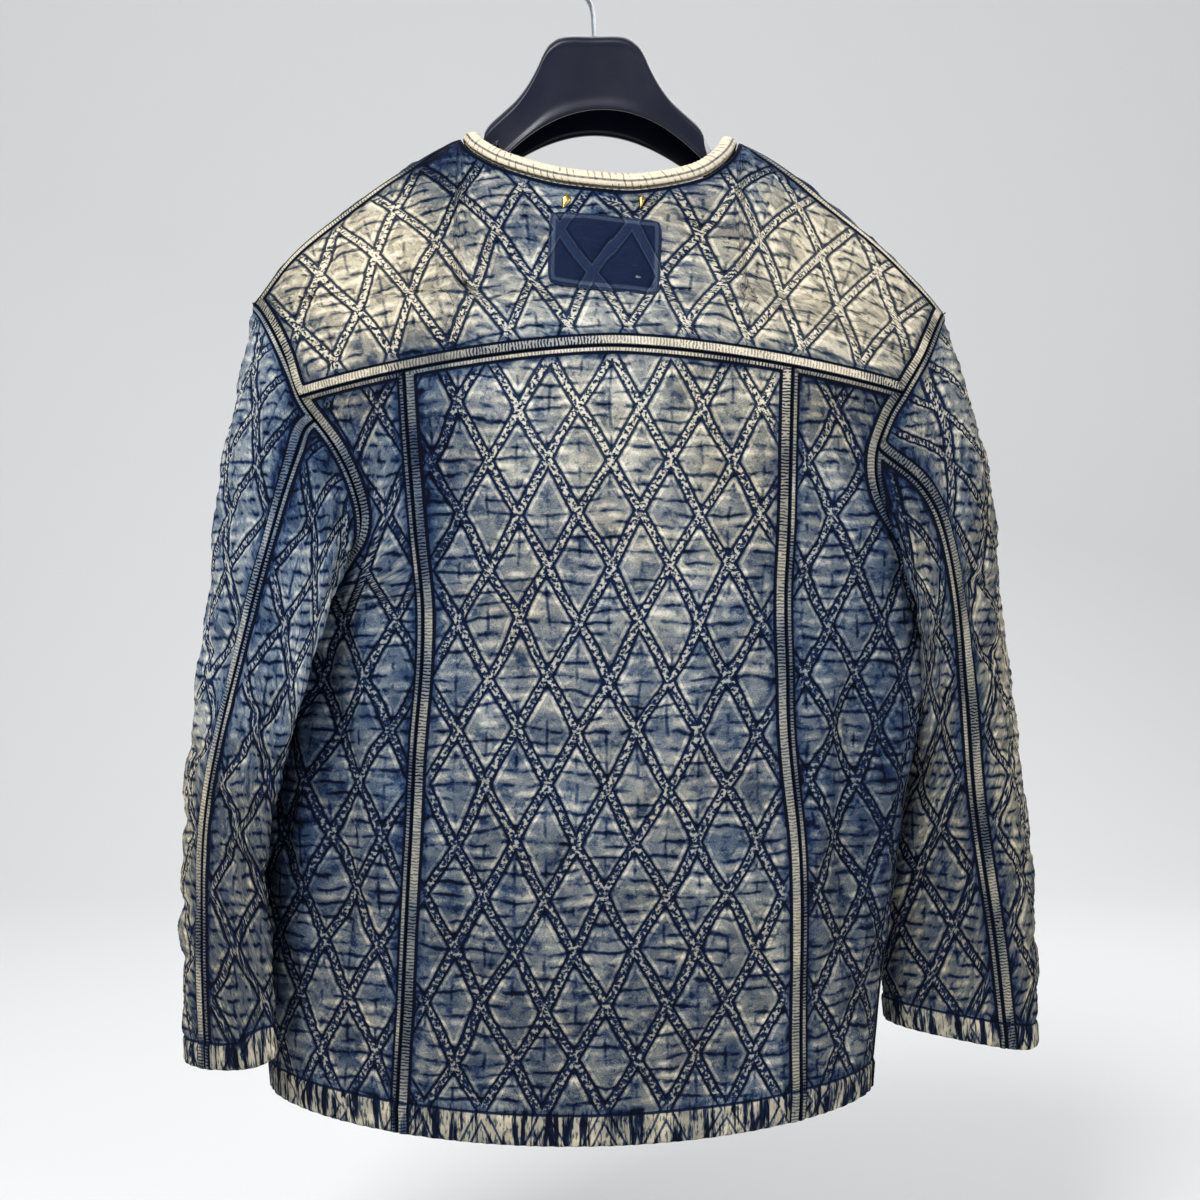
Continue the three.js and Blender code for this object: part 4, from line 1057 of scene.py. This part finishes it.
for word, side, edge_point, rings, back_seam, front_seam, wash_and_shade, outside, elbow in [
    ("left", -1, left_arm_point, LEFT_RINGS, left_sleeve_back, left_sleeve_front,
     sleeve_wash_and_shade(0.59, 0.12), LEFT_OUTSIDE, LEFT_ELBOW),
    ("right", 1, right_arm_point, RIGHT_RINGS, right_sleeve_back, right_sleeve_front,
     sleeve_wash_and_shade(0.55, 0.62), RIGHT_OUTSIDE, RIGHT_ELBOW),
]:
    for half, alpha_from, alpha_to, seam_edge, other_edge, band, creases, seed in [
        ("outer", lambda row, f=front_seam: f(row) - 360, back_seam, "right", "left", WIDE_BAND, outside, 20),
        ("inner", back_seam, front_seam, "left", "right", NARROW_BAND, elbow, 24),
    ]:
        surface = sleeve_surface(side, edge_point, rings, alpha_from, alpha_to)
        sleeve_points = laid_out(surface, (0, 1), SLEEVE_GRAIN)
        sleeve = make_cloth(
            f"sleeve_{half}_{word}_cloth", sleeve_points, side,
            [(seam_edge, band), (other_edge, band), ("bottom", NARROW_BAND)],
            round_lattice(SLEEVE_COLUMN, seam_edge, SLEEVE_ROW_ZERO), creases, wash_and_shade, seed + side,
            place=sleeve_place(seam_edge), hem=("top", CUFF_DEPTH),
        )
        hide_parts(f"sleeve_{half}_{word}")
        body_piece = f"front_{word}" if half == "outer" else f"back_side_{word}"
        sleeve_flat, sleeve_area = cloth_size(sleeve_points)

# Neck binding: a strip of twill cut on the slant, folded over the neck's edge and topstitched through,
# so that the washing has left it cream with slanting puckers.
BINDING_IN, BINDING_OUT, BINDING_WALL = 6.2, 4.4, 1.0
BINDING_OFF_LINE, BINDING_SUNK, BINDING_TURN = 7.4, 1.3, 156
BINDING_STEP, BINDING_COLUMNS = 1.1, 29
BINDING_PUCKER, PUCKER_PERIOD = 0.28, 5.2
SMOOTHED, SMOOTHED_REACH = 6.0, 12
NECK_MIDDLE, BODY_MIDDLE = (NECK_CENTRE, 5, -150), (NECK_CENTRE, 0, -400)


def evenly(line, step):
    """A line of points at even steps, an even number of them."""
    length = run_along(line, 0)
    count = 2 * int(np.ceil(length[-1] / step / 2)) + 1
    wanted = np.linspace(0, length[-1], count)
    return np.stack([np.interp(wanted, length, line[:, axis]) for axis in range(3)], axis=-1)


def facing(vectors, aims):
    """Vectors at a length of 1, each turned round where it points away from its aim."""
    return unit(vectors) * np.sign((vectors * aims).sum(-1))[:, None]


neck_line = evenly(np.concatenate([
    neck_lines["left"][round_neck(neck_lines["left"])][::-1],
    neck_lines["back"][round_neck(neck_lines["back"])][1:-1],
    neck_lines["right"][round_neck(neck_lines["right"])][::-1],
]), BINDING_STEP)
bell = np.exp(-((np.arange(-SMOOTHED_REACH, SMOOTHED_REACH + 1) / SMOOTHED) ** 2))
for _ in range(2):
    ends = neck_line[:1].repeat(SMOOTHED_REACH, 0), neck_line[-1:].repeat(SMOOTHED_REACH, 0)
    padded = np.concatenate([ends[0], neck_line, ends[1]])
    neck_line = np.stack([
        np.convolve(padded[:, axis], bell / bell.sum(), "valid") for axis in range(3)
    ], axis=-1)
along_neck = unit(np.gradient(neck_line, axis=0))
neck_phi = ring_phi(neck_line[:, 0], neck_line[:, 2])
neck_drop = np.sign(neck_line[:, 1]) * np.sqrt(np.maximum(
    ridge_height(neck_line[:, 0]) - neck_line[:, 2], 0,
))
turned_phi = body_point(neck_phi + 0.01, neck_drop) - body_point(neck_phi - 0.01, neck_drop)
turned_drop = body_point(neck_phi, neck_drop + 0.05) - body_point(neck_phi, neck_drop - 0.05)
neck_normal = facing(np.cross(turned_drop, turned_phi), neck_line - BODY_MIDDLE)
into_neck = facing(np.cross(neck_normal, along_neck), NECK_MIDDLE - neck_line)
raised = facing(np.cross(into_neck, along_neck), neck_normal)
neck_run = np.arange(len(neck_line))[:, None] * BINDING_STEP


def binding_grid(inset):
    """The strip's section, an open oval round the neck's edge, drawn in by inset and puckered by
    slanting waves that come and go along it."""
    turn = np.linspace(np.radians(BINDING_TURN), np.radians(-BINDING_TURN), BINDING_COLUMNS)[None]
    pucker = np.sin(2 * np.pi * (neck_run / PUCKER_PERIOD + turn * 0.35 + 0.3 * np.sin(neck_run / 17)))
    swollen = BINDING_PUCKER * pucker * (0.4 + 0.6 * np.sin(neck_run / 7.3) ** 2) - inset
    inward = BINDING_OFF_LINE + (BINDING_IN + swollen) * np.cos(turn)
    out = (BINDING_OUT + swollen) * np.sin(turn) - BINDING_SUNK
    middle = neck_line[:, None]
    return middle + into_neck[:, None] * inward[..., None] + raised[:, None] * out[..., None]


binding_outer = binding_grid(0)
binding_inner = binding_grid(BINDING_WALL)[::2, ::2]
middle_normal = grid_normals(binding_outer, 1)[:, BINDING_COLUMNS // 2]
binding_flip = 1 if (middle_normal * into_neck).sum() > 0 else -1
binding = shell("neck_binding_cloth", binding_outer, binding_inner, binding_flip, {
    "strip": (neck_run, np.linspace(-1, 1, BINDING_COLUMNS)[None], 0),
})


def washed_binding():
    """Cream twill, browner in the puckers, with a few blue stains and a dark row of stitches."""
    wire, material = start_material("washed_binding", 0.9, Specular_IOR_Level=0.15)
    along, across, _ = wire.attribute("strip").parts()
    place = wire.node("ShaderNodeCombineXYZ", {0: along * 0.001, 1: across * 0.014, 2: 0.0})
    slanted = along / PUCKER_PERIOD + across + (place.noise(70, 2) - 0.5) * 0.9
    crease = slanted.from_whole().rises(0.16, 0.02) * place.noise(120, 2).rises(0.42, 0.6)
    stain = place.noise(26, 3).rises(0.60, 0.72) * 0.55
    grain = place.stretched(1.0, 2.0).noise(900, 3, 0.7)
    tone = 0.72 + (grain - 0.5) * 0.5 - crease * 0.45 - abs(across).rises(0.80, 1.0) * 0.12
    stops = [(0.0, paint(92, 84, 78)), (0.4, paint(182, 168, 142)), (0.7, paint(226, 215, 190)),
             (1.0, paint(246, 240, 224))]
    colour = stain.mixed(tone.coloured(stops), paint(70, 88, 118))
    sewn = abs(across).line(0.70, 0.075) * (0.75 + (place.noise(300, 2) - 0.5))
    sewn.mixed(colour, paint(26, 36, 60)).feeds("Base Color")
    (grain * 0.3 - crease * 0.7).bump(0.8, 0.001).feeds("Normal")
    return material


binding.data.materials.append(washed_binding())
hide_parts("neck_binding")
binding_flat, binding_area = cloth_size(binding_outer)

# Patch: a rectangle of unwashed dark denim, its edges turned under and stitched down, then quilted to
# the yoke with everything else.
CORNER_PULL, TOP_PULL = 0.05, 0.07
PATCH_CORNERS = np.array([[-31, -268], [48, -277], [50, -221], [-30, -213]], float)
PATCH_WIDTH, PATCH_HEIGHT = 80, 56
PATCH_STEPS = (72, 52)
PATCH_LIFT, PATCH_WALL, PATCH_QUILTED, PATCH_CRUMPLE = 1.5, 0.9, 0.75, 0.35
PATCH_GROOVE, PATCH_STITCHES, PATCH_LINE_DIP, PATCH_EDGE_DIP = 3.6, 3.4, 0.5, 1.1
PATCH_SEED = 31


def lying(corners, columns, rows):
    """A grid on the yoke between four corners given by x and z, which are rounded by drawing each
    side's ends in towards the middle."""
    s, r = np.meshgrid(np.linspace(0, 1, columns + 1), np.linspace(0, 1, rows + 1))
    along = 0.5 + (s - 0.5) * (1 - CORNER_PULL * np.abs(2 * r - 1) ** 8)
    up = 0.5 + (r - 0.5) * (1 - TOP_PULL * np.abs(2 * s - 1) ** 8)
    low = corners[0] * (1 - along[..., None]) + corners[1] * along[..., None]
    high = corners[3] * (1 - along[..., None]) + corners[2] * along[..., None]
    x, z = np.moveaxis(low * (1 - up[..., None]) + high * up[..., None], -1, 0)
    return body_place(-1, x, z), s, r


patch_points, patch_s, patch_r = lying(PATCH_CORNERS, *PATCH_STEPS)
patch_p, patch_q = bent_lattice(yoke_lattice, patch_points, YOKE_SEED)
patch_x, patch_z = patch_s * PATCH_WIDTH, patch_r * PATCH_HEIGHT
to_edge = np.minimum.reduce([patch_x, PATCH_WIDTH - patch_x, patch_z, PATCH_HEIGHT - patch_z])
patch_height = quilting(patch_p, patch_q, PATCH_QUILTED, YOKE_SEED) + PATCH_LIFT
patch_height += PATCH_CRUMPLE * rumple(patch_x, patch_z, 22, 14, PATCH_SEED)
patch_height -= PATCH_LINE_DIP * np.exp(-(((to_edge - PATCH_GROOVE) / 0.9) ** 2))
patch_height -= PATCH_EDGE_DIP * np.clip(1 - to_edge / 1.6, 0, 1) ** 2
patch_normals = grid_normals(patch_points, 1)
patch_outer = patch_points + patch_normals * patch_height[..., None]
patch_inner = (patch_points + patch_normals * (patch_height - PATCH_WALL)[..., None])[::2, ::2]
patch = shell("patch_cloth", patch_outer, patch_inner, 1, {
    "place": (patch_x * MM, patch_z * MM, to_edge),
    "quilt": (patch_p, patch_q, 1),
})


def dark_patch():
    """Dark indigo denim, crossed by the quilting's lighter rows of stitches, worn at its edges."""
    wire, material = start_material("dark_patch", 0.92, Specular_IOR_Level=0.12)
    place = wire.attribute("place")
    _, _, to_edge = place.parts()
    p, q, _ = wire.attribute("quilt").parts()
    gap_p, gap_q = p.from_whole() * LINE_GAP, q.from_whole() * LINE_GAP
    past = gap_p.math("MINIMUM", gap_p, gap_q) - CHANNEL_HALF
    ragged = (place.noise(700, 3, 0.6) - 0.5) * 1.6
    shaded_creases = place.noise(430, 1).rises(0.36, 0.55)
    stitches = (past + ragged * 0.5).line(0.0, 0.9) * shaded_creases
    border = (to_edge + ragged * 0.6).line(PATCH_STITCHES, 2.2) * shaded_creases
    inside = past.rises(0.3, -0.3)
    flecks = place.noise(520, 2).rises(0.56, 0.70) * inside
    worn = to_edge.rises(1.8, 0.2) * place.noise(300, 2).rises(0.4, 0.6)
    cloud = place.noise(70, 5, 0.62)
    grain = place.stretched(1.0, 2.4).noise(1500, 3, 0.7)
    tone = 0.20 + (cloud - 0.5) * 2.0 + (grain - 0.5) * 1.5 + stitches * 0.36 + border * 0.5
    # Darker just outside the rows of stitches: painted shade where the patch dips to them
    tone = tone + flecks * 0.45 + worn * 0.4 + inside * 0.06 - past.rises(2.6, 0.3) * (1 - inside) * 0.2
    stops = [(0.0, paint(5, 13, 34)), (0.3, paint(21, 35, 66)), (0.6, paint(50, 68, 103)),
             (1.0, paint(140, 156, 178))]
    tone.coloured(stops).feeds("Base Color")
    (grain * 0.3 + cloud * 0.4 - stitches * 0.5 - border * 0.6).bump(0.8, 0.001).feeds("Normal")
    return material


patch.data.materials.append(dark_patch())
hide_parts("patch")
patch_flat, patch_area = cloth_size(patch_outer)

# Tacks: two slivers of thin brass, clamped through the cloth above the patch. Each is domed to softened
# edges, and highest along its middle.
TACK_CORNERS = {
    "left": [[-20.5, -212], [-14, -205], [-17, -200], [-21.5, -203]],
    "right": [[34.5, -212], [38.5, -205], [36.5, -200.5], [33.5, -203]],
}
TACK_STEPS = 12
TACK_SUNK, TACK_WALL, TACK_DOME, TACK_TILT = 0.1, 1.1, 0.7, 0.6
wire, brass = start_material("worn_brass", 0.28, Metallic=1.0)
scuffs = wire.node("ShaderNodeTexCoord", {}, 3).noise(900, 3)
scuffs.rises(0.35, 0.7).mixed(paint(168, 122, 54), paint(238, 205, 130)).feeds("Base Color")
for word, corners in TACK_CORNERS.items():
    tack_points, s, r = lying(np.array(corners, float), TACK_STEPS, TACK_STEPS)
    edge = np.minimum(np.minimum(s, 1 - s), np.minimum(r, 1 - r)) * 2
    seat = np.mean(quilting(*yoke_lattice(tack_points), 1.0, YOKE_SEED)) - TACK_SUNK
    normals = grid_normals(tack_points, 1)
    dome = seat + TACK_WALL + TACK_DOME * smooth(0, 0.45, edge) - TACK_TILT * np.abs(s - 0.5)
    tack = shell(
        f"tack_{word}_brass", tack_points + normals * dome[..., None],
        (tack_points + normals * seat)[::2, ::2], 1, {},
    )
    tack.data.materials.append(brass)
    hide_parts(f"tack_{word}")

# Hanger: moulded in satin black plastic as a hollow shell, with broad shoulders inside the jacket, a
# tall block standing out of the neck and an arch cut out below it, whose edge is thickened to a lip.
HANGER_CENTRE, HANGER_WALL, HANGER_REACH, HANGER_BLOCK = 1.5, 2.5, 215, 113
HANGER_CROWN, HANGER_SIDE_DEPTH, SHOULDER_START = 13, 24, 82
ARCH_SPRINGING, ARCH_SPAN = -168, 77
NEAR_ARCH, FAR_ARCH = (6.5, 39), (0, 33)
UNDER_CLOTH, CLOTH_GAP, SHOULDER_TOP = 4.6, 2.0, -160
FOOT_TURN, HANGER_LIP, HANGER_BULGE, HANGER_STATIONS = 30, 0.9, 3.0, 251
hanger_top = curve_through([
    (0, -70), (22, -70.5), (32, -76), (37, -83), (41, -92), (48, -105), (57, -117), (68, -127),
    (78, -136), (83, -144), (88, -152.5), (93, -155.5), (113, -160),
])
hanger_half = curve_through([(0, 26), (50, 26), (90, 19), (106, 17.5), (150, 18), (190, 17), (215, 7)])


def hanger_skin(x, turn, inset):
    """The hanger's section at each x, drawn in by inset: turn runs up its near wall to -90, over a
    rounded crown to 90, and down its far wall. The walls bulge, and each foot swells to a lip."""
    away = np.abs(x - HANGER_CENTRE)
    slope = (ridge_height(x + 1) - ridge_height(x - 1)) / 2
    under = ridge_height(x) - UNDER_CLOTH * np.sqrt(1 + slope ** 2) - CLOTH_GAP
    top = np.where(away <= HANGER_BLOCK, hanger_top(away), np.minimum(under, SHOULDER_TOP)) - inset
    half = hanger_half(away) - inset
    crown = np.minimum(HANGER_CROWN - inset, half)
    over_crown = np.radians(np.clip(turn, -90, 90))
    y = half * np.sin(over_crown)
    drop = crown * (1 - np.cos(over_crown))
    drop = np.where(away > SHOULDER_START, np.maximum(drop, np.abs(y)), drop)
    centre, height = (np.where(turn < 0, near, far) for near, far in zip(NEAR_ARCH, FAR_ARCH))
    across = np.abs(x - HANGER_CENTRE - centre) / ARCH_SPAN
    foot = np.where(
        across < 1, ARCH_SPRINGING + height * (1 - across ** 2), top + inset - HANGER_SIDE_DEPTH,
    )
    share = np.clip(np.abs(turn) - 90, 0, FOOT_TURN) / FOOT_TURN
    lip = HANGER_LIP * (1 - inset / HANGER_WALL) * smooth(0.80, 0.97, share) * np.sign(turn)
    bulge = HANGER_BULGE * np.sin(np.pi * np.abs(turn) / (90 + FOOT_TURN)) ** 2 * np.sign(turn)
    z = (top - drop) * (1 - share) + foot * share
    return np.stack([x + 0 * turn, y + lip + bulge, z], axis=-1)


hanger_x = HANGER_CENTRE + HANGER_REACH * np.linspace(-1, 1, HANGER_STATIONS)[:, None]
far_wall = 90 + FOOT_TURN * np.linspace(0, 1, 25)[1:]
hanger_turn = np.concatenate([-far_wall[::-1], np.linspace(-90, 90, 33), far_wall])[None]
hanger_outer = hanger_skin(hanger_x, hanger_turn, 0)
hanger_inner = hanger_skin(hanger_x, hanger_turn, HANGER_WALL)[::2, ::2]
hanger = shell("hanger_body_plastic", hanger_outer, hanger_inner, -1, {})
wire, black_plastic = start_material("satin_black_plastic", 0.4, Specular_IOR_Level=0.38)
place = wire.node("ShaderNodeTexCoord", {}, 3)
place.noise(14, 4).mixed(paint(4, 6, 20), paint(14, 19, 46)).feeds("Base Color")
(0.27 + place.noise(60, 4) * 0.14).feeds("Roughness")
place.noise(1400, 2).bump(0.12, 0.0004).feeds("Normal")
hanger.data.materials.append(black_plastic)
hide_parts("hanger_body")

# Hook: a bent steel wire, polished and pressed into the top of the block. It keeps the mesh that it
# has in the frame, and is given its steel.
wire, steel = start_material("polished_steel", 0.22, Metallic=1.0)
drawn = wire.node("ShaderNodeTexCoord", {}, 3).noise(500, 3)
drawn.mixed(paint(120, 128, 138), paint(196, 202, 208)).feeds("Base Color")
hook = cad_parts["hanger_hook"]
hook.data.materials.clear()
hook.data.materials.append(steel)

# Studio: the camera at the photograph's place, a pale floor that turns up into a backdrop behind, and
# soft lights.
CAMERA_PLACE, CAMERA_LENS = (0.006, -1.3, -0.49), 52
FLOOR_HEIGHT, FLOOR_NEAR, FLOOR_LONG, FLOOR_HALF = -1.06, -4, 6, 6
CURVE_RADIUS, BACKDROP_HIGH = 1.2, 4
camera_data = bpy.data.cameras.new("camera")
camera_data.lens = CAMERA_LENS
camera = into_scene("camera", camera_data)
camera.location = CAMERA_PLACE
camera.rotation_euler = (np.pi / 2, 0, 0)
bpy.context.scene.camera = camera

across, around = np.meshgrid(np.linspace(-FLOOR_HALF, FLOOR_HALF, 13), np.linspace(0, 1, 33))
flat_share, turn_share, high_share = (
    np.clip((around - start) / length, 0, 1) for start, length in [(0, 0.4), (0.4, 0.3), (0.7, 0.3)]
)
turn = turn_share * np.pi / 2
sweep_y = FLOOR_NEAR + FLOOR_LONG * flat_share + CURVE_RADIUS * np.sin(turn)
sweep_z = FLOOR_HEIGHT + CURVE_RADIUS * (1 - np.cos(turn)) + BACKDROP_HIGH * high_share
floor_mesh = bpy.data.meshes.new("floor")
sweep = np.stack([across, sweep_y, sweep_z], axis=-1).reshape(-1, 3)
floor_mesh.from_pydata(sweep, [], quads(np.arange(across.size).reshape(across.shape)).tolist())
floor_mesh.shade_smooth()
floor = into_scene("floor", floor_mesh)
_, floor_material = start_material("floor", 0.9, Base_Color=(0.8, 0.8, 0.8, 1))
floor_mesh.materials.append(floor_material)

world = bpy.data.worlds.new("studio")
bpy.context.scene.world = world
world.use_nodes = True
world.node_tree.nodes["Background"].inputs["Color"].default_value = (0.95, 0.97, 1.0, 1)
world.node_tree.nodes["Background"].inputs["Strength"].default_value = 0.42
for title, place, size, power, aim in [
    ("key", (-1.2, -2.2, 1.9), 1.4, 110, (0, 0, -0.45)),
    ("fill", (2.4, -2.0, 0.6), 2.0, 22, (0, 0, -0.5)),
    ("back", (0.6, 1.5, 1.3), 2.0, 30, (0, 0, -0.4)),
]:
    lamp_data = bpy.data.lights.new(title, "AREA")
    lamp_data.size = size
    lamp_data.energy = power
    lamp = into_scene(title, lamp_data)
    lamp.location = place
    lamp.rotation_euler = (Vector(aim) - Vector(place)).to_track_quat("-Z", "Y").to_euler()
bpy.context.scene.view_settings.view_transform = "Standard"
